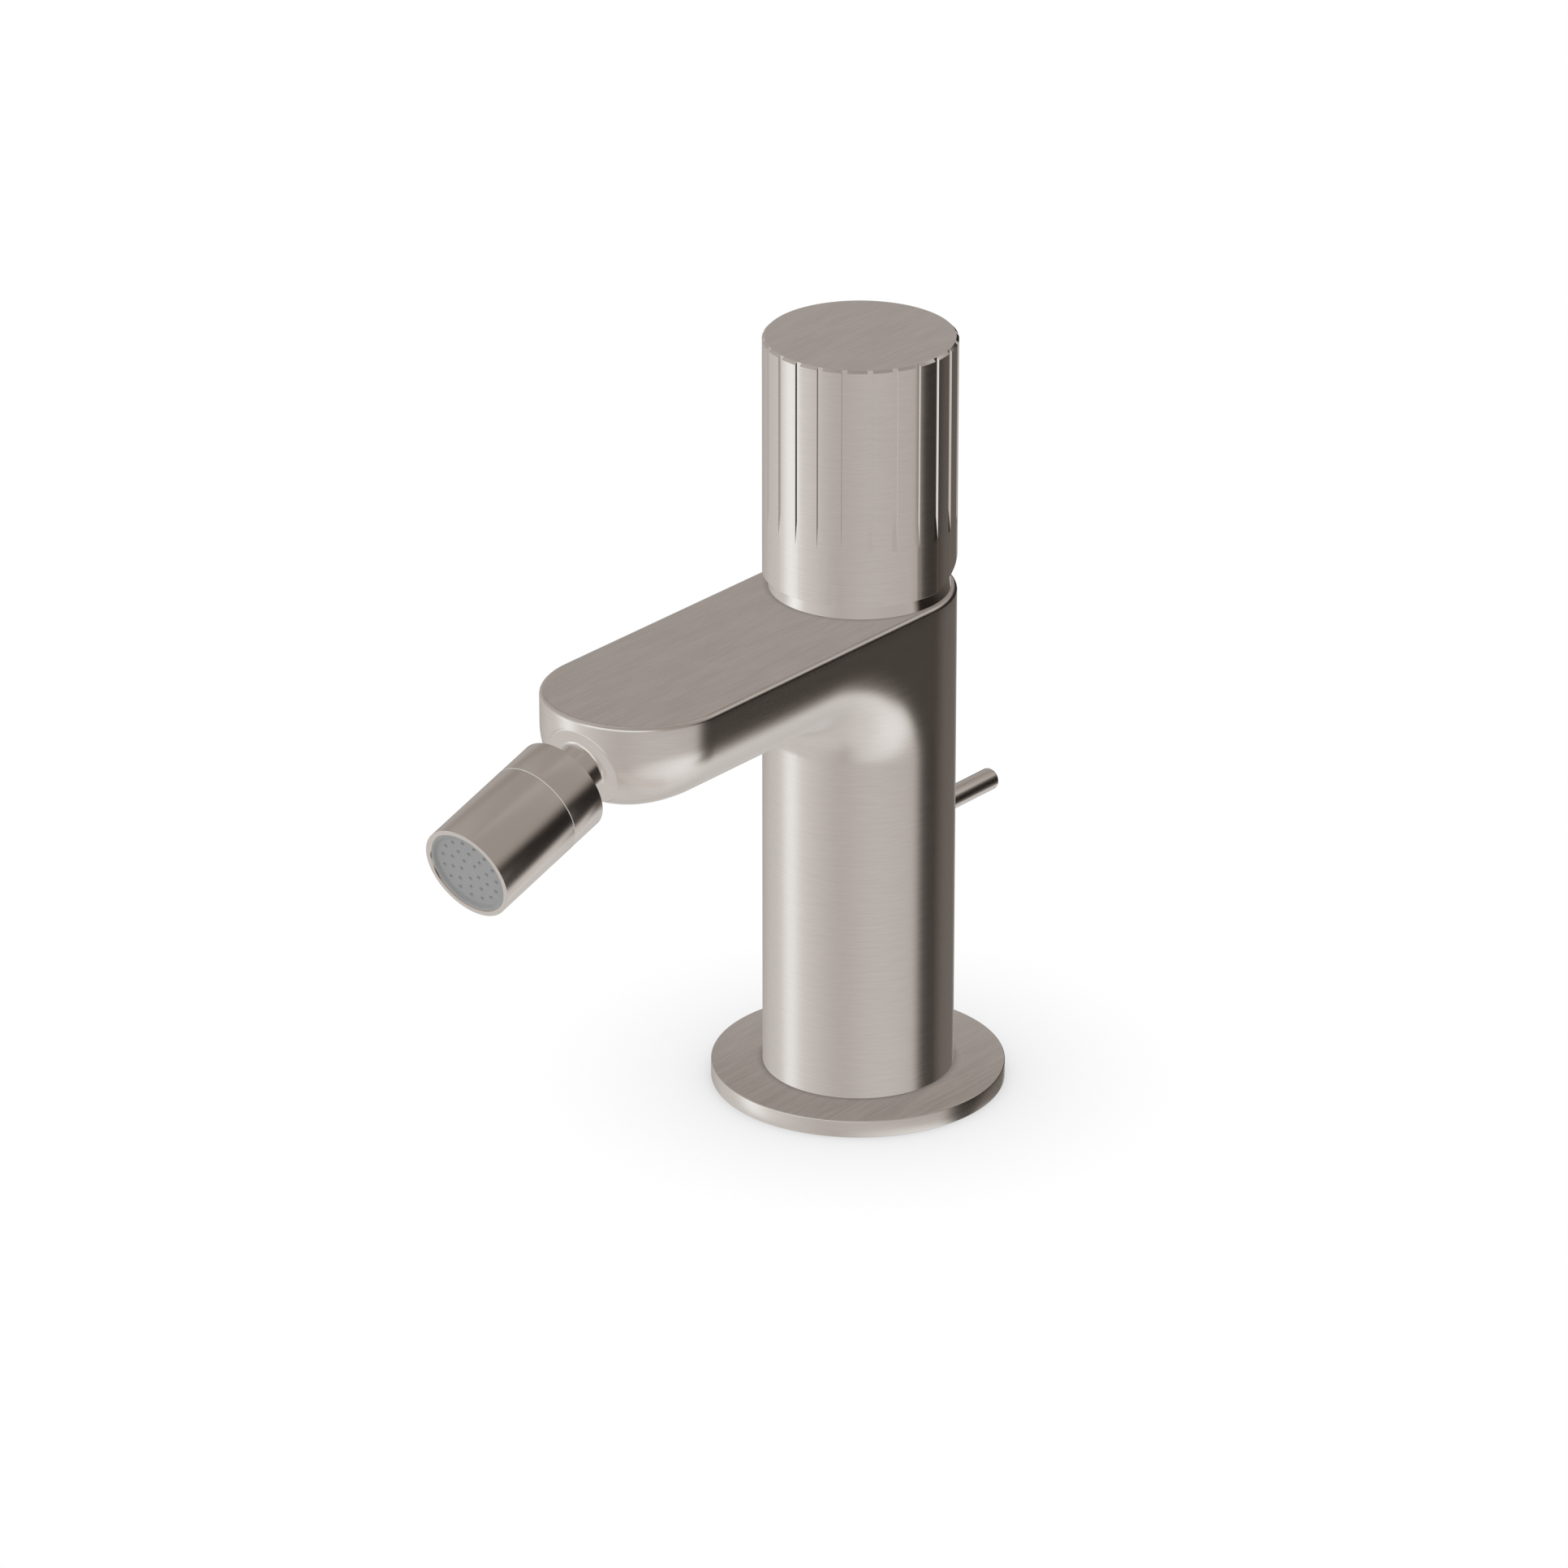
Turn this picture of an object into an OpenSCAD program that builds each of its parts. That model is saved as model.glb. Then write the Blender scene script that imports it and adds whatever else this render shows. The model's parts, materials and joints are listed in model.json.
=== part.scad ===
// Deck-mounted bidet mixer: a round column with a level spout, a fluted knob that
// tilts and turns on a disc cartridge, a spray nozzle on a ball joint and a rear
// pull pin for the pop-up waste. Millimetres.
// Origin: centre of the base, on the deck. +Z is up and the spout points along -Y.

/* [Body] */
// Diameter of the column, which is also the width of the spout
body_d = 45; // [44.5:0.1:50]
// Height of the spout's flat top above the deck
body_h = 125.3; // [118:0.1:150]
// Radius of the fine rounding round the spout's flat top
top_edge_r = 0.8; // [0.4:0.1:1.5]

/* [Spout] */
// Distance from the column's axis to the end of the spout
spout_reach = 100.7; // [96:0.1:125]
// Depth of the spout from its flat top to its lowest line
spout_t = 24; // [23:0.5:26]
// Radius of the rounding along the spout's lower sides
side_round = 18; // [14:0.5:20]
// Radius of the rounding under the spout's tip
tip_round = 14; // [8:0.5:16]
// Inner radius of the bend from the spout's underside into the column
bend_r = 12.5; // [8:0.5:20]
// Diameter of the water channel along the spout
channel_d = 9; // [7:0.5:10]
// Height of the channel's axis above the spout's lowest line
channel_up = 6.7; // [6:0.1:8]

/* [Nozzle seat in the spout] */
// Angle of the nozzle's axis below the horizontal
nozzle_tilt = 17.5; // [14:0.5:22]
// Diameter of the round flat faced off on the spout's tip
face_d = 20.2; // [18:0.1:21]
// Distance from the spout's end back to the middle of that flat
face_setback = 3.15; // [2.5:0.05:4]
// Distance from the spout's top down to the middle of that flat
face_drop = 12.5; // [12:0.1:13.5]
// Diameter of the threaded hole for the stem
stem_thread_d = 10; // [9:0.5:10.5]
// Depth of the counterbore that takes the stem's neck
neck_sink = 3; // [2:0.5:4]
// Width of the chamfer round the counterbore
neck_chamfer = 0.5; // [0.2:0.1:0.8]

/* [Base] */
// Diameter of the base flange
flange_d = 69.3; // [66:0.1:80]
// Thickness of the base flange
flange_t = 4.2; // [3.5:0.1:7]
// Diameter of the spigot that centres the column in the flange
spigot_d = 36; // [35.6:0.1:38]
// Width of the rubber ring under the flange
base_ring_w = 3.6; // [2.5:0.1:4.5]
// Thickness of the rubber ring under the flange
base_ring_t = 1.5; // [1:0.1:2]

/* [Knob] */
// Height of the knob
knob_h = 57.9; // [52:0.1:70]
// Gap between the spout's flat top and the knob
knob_gap = 3.5; // [3:0.1:5]
// Thickness of the knob's skirt
skirt_t = 1; // [0.9:0.1:1.1]
// Depth of the hollow in the knob's underside
skirt_depth = 21.2; // [20:0.1:24]
// Width of the chamfer round the knob's top
knob_chamfer = 0.6; // [0.4:0.1:1]
// Slope of the relief behind the knob that lets it tilt back
relief_slope = 18.4; // [17.5:0.1:22]
// Number of grooves round the knob
groove_count = 24; // [12:1:36]
// Width of a groove
groove_w = 1.3; // [0.8:0.1:2]
// Depth of a groove
groove_depth = 0.6; // [0.4:0.1:0.8]
// Height above the knob's lower edge where the grooves reach full depth
groove_start = 20.6; // [16:0.1:26]
// Radius of the wheel that runs a groove out
groove_wheel_r = 32; // [20:1:45]
// Angle that the knob tilts back to open the water
knob_tilt = 17; // [12:0.5:17]

/* [Collar] */
// Radius of the domed collar that the knob tilts over
dome_r = 21.1; // [20.9:0.1:21.2]
// Height of the dome's flat top above the pivot
dome_rise = 10.2; // [9:0.1:11]
// Diameter of the opening in the dome's top
dome_hole_d = 24.4; // [24:0.1:26]

/* [Cartridge] */
// Diameter of the cartridge
cartridge_d = 35; // [34.5:0.1:35.2]
// Thickness of the cartridge's side wall
housing_wall = 2.4; // [1.8:0.1:2.8]
// Thickness of the cartridge's base
cart_base_t = 3.5; // [3:0.1:4]
// Thickness of the fixed ceramic disc
fixed_disc_t = 3; // [2.5:0.1:3.5]
// Thickness of the moving ceramic disc
moving_disc_t = 3; // [2.5:0.1:3.5]
// Diameter of the moving ceramic disc
moving_disc_d = 21; // [20:0.5:22]
// Thickness of the slider on the moving disc
carrier_t = 3.7; // [3.2:0.1:4]
// Thickness of the rotor's flange
rotor_flange_t = 1.5; // [1.2:0.1:1.8]
// Diameter of the rotor's neck
rotor_d = 23.2; // [22:0.1:23.4]
// Height of the rotor's top above the pivot
rotor_rise = 4.2; // [3.5:0.1:5]
// Thickness of the plate that closes the cartridge's top
top_plate_t = 2; // [1.6:0.1:2.4]
// Depth from the spout's flat top to the floor of the chamber
chamber_depth = 22; // [21.6:0.1:22.4]
// Diameter of the thread that holds the cartridge nut
nut_thread_d = 39; // [38.4:0.1:39.4]
// Width across the corners of the cartridge nut's hexagon
nut_corners = 36.6; // [36:0.1:36.8]
// Height of the cartridge nut's hexagon
nut_hex_h = 5; // [4:0.1:6]
// Distance of the hot and cold ports from the middle plane
port_x = 8; // [7.5:0.1:9]
// Distance of the hot and cold ports behind the column's axis
port_y = 1; // [0:0.1:2]
// Diameter of a water passage in the body
passage_d = 7; // [6:0.1:7.4]

/* [Lever] */
// Width of the lever's square shank
shank_w = 8; // [7:0.1:8.4]
// Height of the shank's top above the pivot
shank_rise = 31; // [28:0.5:36]
// Radius of the ball at the lever's lower end
lever_ball_r = 2.2; // [1.8:0.1:2.4]
// Diameter of the pivot pin
pivot_d = 4; // [3:0.1:4.5]
// Length of the pivot pin
pivot_len = 21; // [18:0.5:21.5]
// Diameter of the socket piece inside the knob
insert_d = 24; // [20:0.5:26]
// Height of the knob's closed top above the socket piece
crown_t = 10.7; // [6:0.1:14]
// Diameter of the grub screw behind the knob
grub_d = 5; // [4:0.5:6]
// Length of the grub screw
grub_len = 12; // [10:0.5:14]
// Height of the grub screw above the pivot
grub_rise = 26; // [24:0.5:28]
// Height of the socket piece's lower end above the pivot
insert_rise = 17.2; // [16:0.1:20]

/* [Nozzle] */
// Diameter of the nozzle
nozzle_d = 23.2; // [22.8:0.1:25]
// Length of the nozzle
nozzle_len = 34; // [32:0.5:40]
// Length of the rear sleeve, from the back of the nozzle to the seam
rear_sleeve_len = 9.9; // [9.5:0.1:11]
// Length of the bare neck between the spout and the nozzle
neck_len = 7.6; // [6.5:0.1:10]
// Diameter of the neck
neck_d = 11.8; // [11:0.1:12]
// Radius of the ball that the nozzle swivels on
ball_r = 8.4; // [8.2:0.1:8.5]
// Depth of the ball's centre inside the nozzle's back
ball_depth = 9; // [8.8:0.1:9.2]
// Diameter of the bore through the stem
stem_bore_d = 5.6; // [4:0.1:6]
// Inner diameter of the bright lip round the outlet
lip_d = 20.9; // [20.5:0.1:21.2]
// Swivel of the nozzle each way from its middle
nozzle_swivel = 11; // [6:0.5:11]
// Diameter of a spray hole
spray_hole_d = 0.9; // [0.6:0.1:1.2]
// Spacing between the rings of spray holes
spray_ring_step = 2.55; // [2.3:0.05:2.6]
// Number of spray holes in the innermost ring, and more in each ring outwards
spray_ring_count = 5; // [4:1:6]
// Depth of the spray plate's face inside the lip
spray_face_depth = 1.2; // [0.8:0.1:2]

/* [Waste pull] */
// Diameter of the pull pin behind the column
pull_d = 5.3; // [4:0.1:6]
// Height of the pull pin above the deck when it is down
pull_z = 59.1; // [50:0.1:75]
// Distance from the column's axis to the end of the pull pin
pull_end = 49.4; // [40:0.1:60]
// Travel of the pull pin
pull_travel = 12; // [8:0.5:15]
// Diameter of the bore that the pull slides in
lift_bore_d = 9; // [8.5:0.1:9.6]
// Metal left between that bore and the side of the spigot
lift_wall = 0.9; // [0.8:0.1:1.5]
// Diameter of the lift rod where it slides in the body
lift_shank_d = 6; // [5.5:0.1:6.4]
// Diameter of the lift rod's free end under the deck
lift_rod_d = 5; // [4:0.1:5.2]
// Length of the lift rod below the deck
lift_below = 110; // [80:1:200]
// Height of the block that joins the pin and the rod
lift_head_h = 14; // [12:0.5:18]

/* [Deck fixing] */
// Thickness of the deck that the fixings are drawn against
deck_t = 18; // [5:0.5:35]
// Diameter of the fixing stud
stud_d = 8; // [6:0.5:9]
// Metal left between the stud's hole and the side of the spigot
stud_wall = 2; // [1.8:0.1:2.5]
// Length of the stud below the deck's top
stud_below = 75; // [60:1:100]
// Depth of the stud's hole in the body
stud_hole = 15; // [10:0.5:20]
// Thickness of the rubber horseshoe
pad_t = 3; // [2:0.5:5]
// Thickness of the steel horseshoe
washer_t = 2.5; // [2:0.5:4]
// Diameter of the horseshoes
horseshoe_d = 52; // [48:0.5:58]
// Width of the gap between a horseshoe's arms
horseshoe_gap = 28; // [27:0.5:30]
// Height of the fixing nut
stud_nut_h = 6.5; // [5:0.5:10]
// Width across the fixing nut's corners
stud_nut_w = 15; // [13:0.5:18]
// Diameter of the threaded hose inlets
inlet_d = 9; // [8:0.1:9.4]
// Depth of the threaded hose inlets
inlet_depth = 12; // [10:0.5:16]

/* [Hidden] */
$fn = 96;

// Clearances shared by pieces that meet
fit_gap = 0.05;
run_gap = 0.1;
free_gap = 0.3;
// Overshoot of a cutting tool past the surface that it opens
cut = 1;
// Amount that the bent underside is tucked inside the exact column and spout
tuck = 0.02;
// Length that the bent underside laps into the column and the spout's upper band
heel_lap = 1;

metal = [0.66, 0.63, 0.60];
dark_metal = [0.45, 0.43, 0.41];
brass = [0.78, 0.66, 0.38];
rubber = [0.12, 0.12, 0.12];
ceramic = [0.93, 0.92, 0.88];
white_plastic = [0.88, 0.88, 0.86];
grey_plastic = [0.62, 0.63, 0.62];

// Body and spout
body_r = body_d / 2;
tip_y = -(spout_reach - body_r);
spout_low = body_h - spout_t;
slab_low = spout_low + side_round;
channel_z = spout_low + channel_up;
riser_in = 2;
riser_r = channel_d / 2 - 0.5;

// Bend under the spout: the steps are counts of facets
bend_y = -(body_r + bend_r);
bend_z = spout_low - bend_r;
round_steps = 12;
bend_steps = 10;
tip_steps = 32;

// Chamber and cartridge, stacked from the chamber's floor
pivot_z = body_h + knob_gap;
chamber_floor = body_h - chamber_depth;
cartridge_r = cartridge_d / 2 - run_gap;
chamber_r = cartridge_d / 2 + free_gap;
housing_in = cartridge_r - housing_wall;
fixed_disc_z = chamber_floor + cart_base_t;
moving_disc_z = fixed_disc_z + fixed_disc_t + fit_gap;
carrier_z = moving_disc_z + moving_disc_t + fit_gap;
rotor_z = carrier_z + carrier_t + free_gap;
plate_z = rotor_z + rotor_flange_t + run_gap;
shoulder_z = plate_z + top_plate_t;
neck_wall = 2.2;
housing_neck_r = rotor_d / 2 + run_gap + neck_wall;
housing_top = pivot_z - cut;
nut_bore_r = housing_neck_r + run_gap;
dome_bore_r = nut_corners / 2 + run_gap;
outlet_port_y = -8;
lever_ball_z = carrier_z + lever_ball_r + 2 * run_gap;
lever_arm = pivot_z - lever_ball_z;
disc_travel = lever_arm * sin(knob_tilt);
disc_y = disc_travel / 2;
slot_w = shank_w + 2 * run_gap + 2 * free_gap;
slot_room = 2.5;
slot_len = 2 * (shank_w / 2 + slot_room);

// Knob
knob_r = body_r;
knob_top = pivot_z + knob_h;
skirt_top = pivot_z + skirt_depth;
insert_top = knob_top - crown_t;
insert_low = pivot_z + insert_rise;
shank_top = pivot_z + shank_rise;
grub_z = pivot_z + grub_rise;

// Nozzle, measured outwards along its own axis from the faced flat on the spout
face_y = -(spout_reach - face_setback);
face_z = body_h - face_drop;
nozzle_r = nozzle_d / 2;
neck_r = neck_d / 2;
neck_hole_r = neck_r + fit_gap;
stem_depth = 15;
stem_room = 5;
stem_hole = stem_depth + stem_room;
nozzle_back = neck_len;
nozzle_end = nozzle_back + nozzle_len;
seam_at = nozzle_back + rear_sleeve_len;
seam_chamfer = 0.12;
ball_at = nozzle_back + ball_depth;
waist_r = 4.6;
slip_in = ball_r + run_gap;
slip_t = 0.7;
slip_back = -3.9;
slip_front = -1;
slip_out = slip_in + slip_t;
socket_r = slip_out + run_gap;
// Flare behind the ball: it clears the stem when both swivels are at their limits
flare_reach = acos(pow(cos(nozzle_swivel), 2));
flare_r = neck_r / cos(flare_reach) + ball_depth * tan(flare_reach) + free_gap;
neck_in = 0.8;
corner_r = neck_r * cos(flare_reach) + (ball_depth - neck_in) * sin(flare_reach) + free_gap;
corner_at = ball_at - (ball_depth - neck_in) * cos(flare_reach) + neck_r * sin(flare_reach);
throat_at = ball_at - ball_depth / 2;
throat_r = waist_r / cos(flare_reach) + ball_depth / 2 * tan(flare_reach) + 2 * free_gap;
sleeve_wall = 1.15;
spigot_r = nozzle_r - sleeve_wall;
spigot_len = 3;
seat_out = socket_r + run_gap;
seat_back = ball_at + 2;
seat_front = ball_at + 6;
seat_bore_r = 5;
end_chamfer = 0.3;
cup_bore_r = 7.5;
lip_r = lip_d / 2;
cup_depth = 8;
screen_t = 1;
cup_washer_t = 1.6;
spray_floor_t = 1.8;
spray_rim_drop = 0.3;
spray_rim_r = lip_r - 0.7;
spray_floor_r = lip_r - 1.05;
spray_hollow_r = lip_r - 1.8;
screen_hole_r = 0.6;
screen_step = 2.2;
screen_rings = 3;
screen_count = 6;
spray_phase = 42;
spray_rings = 3;

// Waste pull
lift_bore_r = lift_bore_d / 2;
lift_y = spigot_d / 2 - lift_bore_r - lift_wall;
lift_top_gap = 2;
lift_bore_top = pull_z + pull_travel + lift_head_h / 2 + lift_top_gap;
pull_slot_r = pull_d / 2 + free_gap;
pull_y = lift_y - pull_d / 2 - free_gap;
rod_socket = 3;
rod_top = pull_z - lift_head_h / 2 + rod_socket;
// The thick shank stays in its bush over the whole travel
shank_end = -(pull_travel + lift_shank_d);
bush_len = 8;

// Base and deck fixing
spigot_base_r = spigot_d / 2;
stud_y = spigot_base_r - stud_d / 2 - stud_wall;
pad_top = -deck_t;
washer_top = pad_top - pad_t;
stud_nut_top = washer_top - washer_t;
inlet_r = inlet_d / 2;

// A round bar from z0 up to z1
module bar(r, z0, z1) {
    translate([0, 0, z0]) cylinder(r = r, h = z1 - z0);
}

// A plain ring from z0 up to z1
module ring(r_out, r_in, z0, z1) {
    difference() {
        bar(r_out, z0, z1);
        bar(r_in, z0 - cut, z1 + cut);
    }
}

// Places its children on the nozzle's axis: local +Z leaves the spout
module on_nozzle_axis() {
    translate([0, face_y, face_z]) rotate([90 + nozzle_tilt, 0, 0]) children();
}

// A slot with round ends, cut along Y, from height z0 to height z1
module rear_slot(r, z0, z1) {
    for (z = [z0, z1])
        translate([0, lift_y, z]) rotate([-90, 0, 0]) cylinder(r = r, h = body_r - lift_y + cut);
    translate([-r, lift_y, z0]) cube([2 * r, body_r - lift_y + cut, z1 - z0]);
}

// Cross-section of the spout's upper band, with fine round upper corners
function arc(cx, cz, r, a0, a1, n) =
    [for (i = [0:n]) let (a = a0 + (a1 - a0) * i / n) [cx + r * cos(a), cz + r * sin(a)]];
band_corner = arc(body_r - top_edge_r, body_h - top_edge_r, top_edge_r, 0, 90, 4);

// The level part of the spout above the rounding of its lower sides
module spout_band() {
    half = concat([[0, slab_low], [body_r, slab_low]], band_corner, [[0, body_h]]);
    left = [for (i = [len(band_corner) - 1:-1:0]) [-band_corner[i][0], band_corner[i][1]]];
    whole = concat([[-body_r, slab_low], [body_r, slab_low]], band_corner, left);
    translate([0, tip_y, 0]) rotate_extrude() polygon(half);
    rotate([90, 0, 0]) linear_extrude(-tip_y) polygon(whole);
}

// The round column, with the same fine edge behind the knob. Its front is left
// open where the bend under the spout takes its place.
module column() {
    difference() {
        rotate_extrude() polygon(concat([[0, flange_t], [body_r, flange_t]], band_corner, [[0, body_h]]));
        translate([-body_d, -body_d - heel_lap / 2, bend_z])
            cube([2 * body_d, body_d, slab_low - bend_z + heel_lap]);
    }
}

// Points down one side of the spout, from the band to the lowest line.
// The first set goes round the tip, the second along the bend and the third is
// the foot that laps into the column.
keel_r = body_r - tuck;
keel_top = slab_low + heel_lap;
function tip_rib(a) =
    let (q = side_round + (tip_round - side_round) * pow(sin(a), 2))
    concat(
        [[keel_r * cos(a), tip_y - keel_r * sin(a), keel_top]],
        [for (j = [0:round_steps])
            let (t = 90 * j / round_steps, d = keel_r - q + q * cos(t))
            [d * cos(a), tip_y - d * sin(a), spout_low + q - q * sin(t)]]);
function bend_rib(a, side) =
    let (q = side_round + (keel_r - side_round) * pow(sin(a), 2),
        top_y = bend_y + tuck + (bend_r + q) * sin(a))
    concat(
        [[side * keel_r, top_y, keel_top]],
        [for (j = [0:round_steps])
            let (t = 90 * j / round_steps, d = bend_r + q * (1 - sin(t)))
            [side * (keel_r - q + q * cos(t)), bend_y + tuck + d * sin(a), bend_z + d * cos(a)]]);

function foot_rib(side) =
    [for (p = bend_rib(90, side))
        [p[0], p[1] + heel_lap / 3, p[2] > bend_z + heel_lap ? p[2] : p[2] - heel_lap]];

// The rounded underside of the spout and its bend into the column
module spout_keel() {
    left = concat([foot_rib(-1)], [for (i = [0:bend_steps]) bend_rib(90 - 90 * i / bend_steps, -1)]);
    tip = [for (i = [0:tip_steps]) tip_rib(180 - 180 * i / tip_steps)];
    right = concat([for (i = [0:bend_steps]) bend_rib(90 * i / bend_steps, 1)], [foot_rib(1)]);
    arm = bend_steps + 1;
    ribs = concat(left, tip, right);
    last = len(ribs) - 1;
    per = round_steps + 2;
    points = [for (rib = ribs, p = rib) p];
    function id(i, k) = (k == per - 1 && i > last - 2 ? last - i : i) * per + k;
    sides = [for (i = [0:last - 1], k = [0:per - 2]) each [
        [id(i, k), id(i + 1, k), id(i + 1, k + 1)],
        [id(i, k), id(i + 1, k + 1), id(i, k + 1)]]];
    belly = [for (i = [2:arm]) each [
        [id(i, per - 1), id(last - i - 1, per - 1), id(last - i, per - 1)],
        [id(i, per - 1), id(i + 1, per - 1), id(last - i - 1, per - 1)]]];
    heel = [[id(1, per - 1), id(2, per - 1), id(last - 2, per - 1)]];
    tip_floor = [[for (i = [arm + 1:arm + 1 + tip_steps]) id(i, per - 1)]];
    // The lid starts at the tip, so that no three of its fan's corners lie in line
    lid = [[for (i = [0:last]) id((last / 2 + last + 1 - i) % (last + 1), 0)]];
    back = [[id(0, 0), id(0, 1), id(last, 1), id(last, 0)]];
    foot = [concat([for (k = [1:per - 1]) id(0, k)], [for (k = [per - 2:-1:1]) id(last, k)])];
    polyhedron(points, concat(sides, belly, heel, tip_floor, lid, back, foot));
}

// Stepped chamber for the cartridge and its nut
module chamber() {
    bar(chamber_r, chamber_floor, body_h + cut);
    bar(nut_thread_d / 2, shoulder_z - cut, body_h + cut);
}

// Water passages: two from below, one along the spout with a riser to the stem
module passages() {
    for (side = [-1, 1]) {
        translate([side * port_x, port_y, 0]) bar(passage_d / 2, inlet_depth - cut, chamber_floor + cut);
        translate([side * port_x, port_y, 0]) bar(inlet_r, -cut, inlet_depth);
    }
    riser_y = face_y + stem_hole * cos(nozzle_tilt) - riser_in;
    translate([0, riser_y, channel_z]) rotate([-90, 0, 0])
        cylinder(d = channel_d, h = -riser_y - housing_in);
    translate([0, riser_y, 0]) bar(riser_r, channel_z, face_z + stem_depth * sin(nozzle_tilt));
}

// Hole, counterbore and flat that take the nozzle's stem
module stem_seat() {
    on_nozzle_axis() {
        bar(stem_thread_d / 2, -stem_hole, cut);
        bar(neck_hole_r, -neck_sink, cut);
        translate([0, 0, -neck_chamfer])
            cylinder(r1 = neck_hole_r, r2 = neck_hole_r + neck_chamfer + cut, h = neck_chamfer + cut);
        bar(face_d / 2, 0, face_d);
    }
}

// Bore and slot for the waste pull
module lift_way() {
    translate([0, lift_y, 0]) bar(lift_bore_r, -cut, lift_bore_top);
    rear_slot(pull_slot_r, pull_z, pull_z + pull_travel);
}

module body_casting() {
    color(metal) difference() {
        union() {
            column();
            bar(spigot_base_r, 0, flange_t + cut);
            spout_band();
            spout_keel();
        }
        chamber();
        passages();
        stem_seat();
        lift_way();
        translate([0, -stud_y, 0]) bar(stud_d / 2, -cut, stud_hole);
    }
}

base_ring_inset = 3;
flange_edge = 0.2;
base_ring_out = flange_d / 2 - base_ring_inset;
base_ring_in = base_ring_out - base_ring_w;

module base_flange() {
    color(metal) difference() {
        rotate_extrude() polygon([
            [spigot_base_r + fit_gap, 0], [flange_d / 2, 0],
            [flange_d / 2, flange_t - flange_edge], [flange_d / 2 - flange_edge, flange_t],
            [spigot_base_r + fit_gap, flange_t]]);
        ring(base_ring_out + fit_gap, base_ring_in - fit_gap, -cut, base_ring_t);
    }
}

module base_gasket() {
    color(rubber) ring(base_ring_out, base_ring_in, 0, base_ring_t);
}

module fixing_stud() {
    color(dark_metal) translate([0, -stud_y, 0])
        bar(stud_d / 2 - fit_gap, -stud_below, stud_hole - 1);
}

// Outline shared by the two horseshoes, open towards the back
module horseshoe_outline() {
    difference() {
        circle(d = horseshoe_d);
        translate([-horseshoe_gap / 2, -stud_y + stud_d]) square([horseshoe_gap, horseshoe_d]);
        translate([0, -stud_y]) circle(r = stud_d / 2 + run_gap);
    }
}

module deck_gasket() {
    color(rubber) translate([0, 0, washer_top]) linear_extrude(pad_t) horseshoe_outline();
}

module deck_washer() {
    color(dark_metal) translate([0, 0, stud_nut_top]) linear_extrude(washer_t) horseshoe_outline();
}

module fixing_nut() {
    color(brass) translate([0, -stud_y, 0]) difference() {
        translate([0, 0, stud_nut_top - stud_nut_h]) cylinder(d = stud_nut_w, h = stud_nut_h, $fn = 6);
        bar(stud_d / 2, stud_nut_top - stud_nut_h - cut, stud_nut_top + cut);
    }
}

module guide_bush() {
    color(white_plastic) translate([0, lift_y, 0])
        ring(lift_bore_r - fit_gap, lift_shank_d / 2 + run_gap, free_gap, bush_len);
}

// Places its children at the cartridge's three ports
module at_ports() {
    for (p = [[-port_x, port_y], [port_x, port_y], [0, outlet_port_y]])
        translate([p[0], p[1], 0]) children();
}

port_r = 2.6;
seal_out = 4;
seal_t = 1;

module cartridge_base() {
    color(white_plastic) difference() {
        bar(housing_in - fit_gap, chamber_floor, fixed_disc_z);
        at_ports() {
            bar(port_r, chamber_floor - cut, fixed_disc_z + cut);
            bar(seal_out + fit_gap, chamber_floor - cut, chamber_floor + seal_t);
        }
        translate([-port_r, -cartridge_r, chamber_floor + seal_t])
            cube([2 * port_r, cartridge_r + outlet_port_y, cart_base_t]);
    }
}

module port_seals() {
    color(rubber) at_ports() ring(seal_out, port_r, chamber_floor, chamber_floor + seal_t);
}

module fixed_disc() {
    color(ceramic) difference() {
        bar(housing_in - run_gap, fixed_disc_z, fixed_disc_z + fixed_disc_t);
        at_ports() bar(port_r, fixed_disc_z - cut, fixed_disc_z + fixed_disc_t + cut);
    }
}

module cartridge_housing() {
    color(white_plastic) difference() {
        union() {
            bar(cartridge_r, chamber_floor, shoulder_z);
            bar(housing_neck_r, shoulder_z - cut, housing_top);
        }
        bar(housing_in, chamber_floor - cut, plate_z);
        bar(rotor_d / 2 + run_gap, plate_z - cut, housing_top + cut);
        translate([-port_r, -cartridge_r - cut, chamber_floor + seal_t])
            cube([2 * port_r, housing_wall + 2 * cut, cart_base_t]);
    }
}

module cartridge_nut() {
    color(brass) difference() {
        union() {
            bar(nut_thread_d / 2 - fit_gap, shoulder_z, body_h);
            translate([0, 0, body_h]) cylinder(d = nut_corners, h = nut_hex_h, $fn = 6);
        }
        bar(nut_bore_r, shoulder_z - cut, body_h + nut_hex_h + cut);
    }
}

module dome_collar() {
    color(metal) difference() {
        translate([0, 0, pivot_z]) sphere(r = dome_r);
        translate([-2 * dome_r, -2 * dome_r, body_h - 2 * dome_r])
            cube([4 * dome_r, 4 * dome_r, 2 * dome_r]);
        translate([-2 * dome_r, -2 * dome_r, pivot_z + dome_rise])
            cube([4 * dome_r, 4 * dome_r, 2 * dome_r]);
        bar(dome_bore_r, body_h - cut, body_h + nut_hex_h + cut);
        bar(dome_hole_d / 2, body_h, pivot_z + dome_rise + cut);
    }
}

// Ball stem: threaded end in the spout, smooth neck, waist and bored ball
module nozzle_stem() {
    color(metal) on_nozzle_axis() difference() {
        union() {
            bar(stem_thread_d / 2 - fit_gap, -stem_depth, -neck_sink + cut);
            rotate_extrude() polygon([
                [0, -neck_sink], [neck_r, -neck_sink], [neck_r, nozzle_back + neck_in],
                [waist_r, nozzle_back + 2], [waist_r, ball_at - 5], [0, ball_at - 5]]);
            translate([0, 0, ball_at]) sphere(r = ball_r);
        }
        bar(stem_bore_d / 2, -stem_depth - cut, ball_at + ball_r + cut);
    }
}

stem_seal_t = 1.2;

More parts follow.
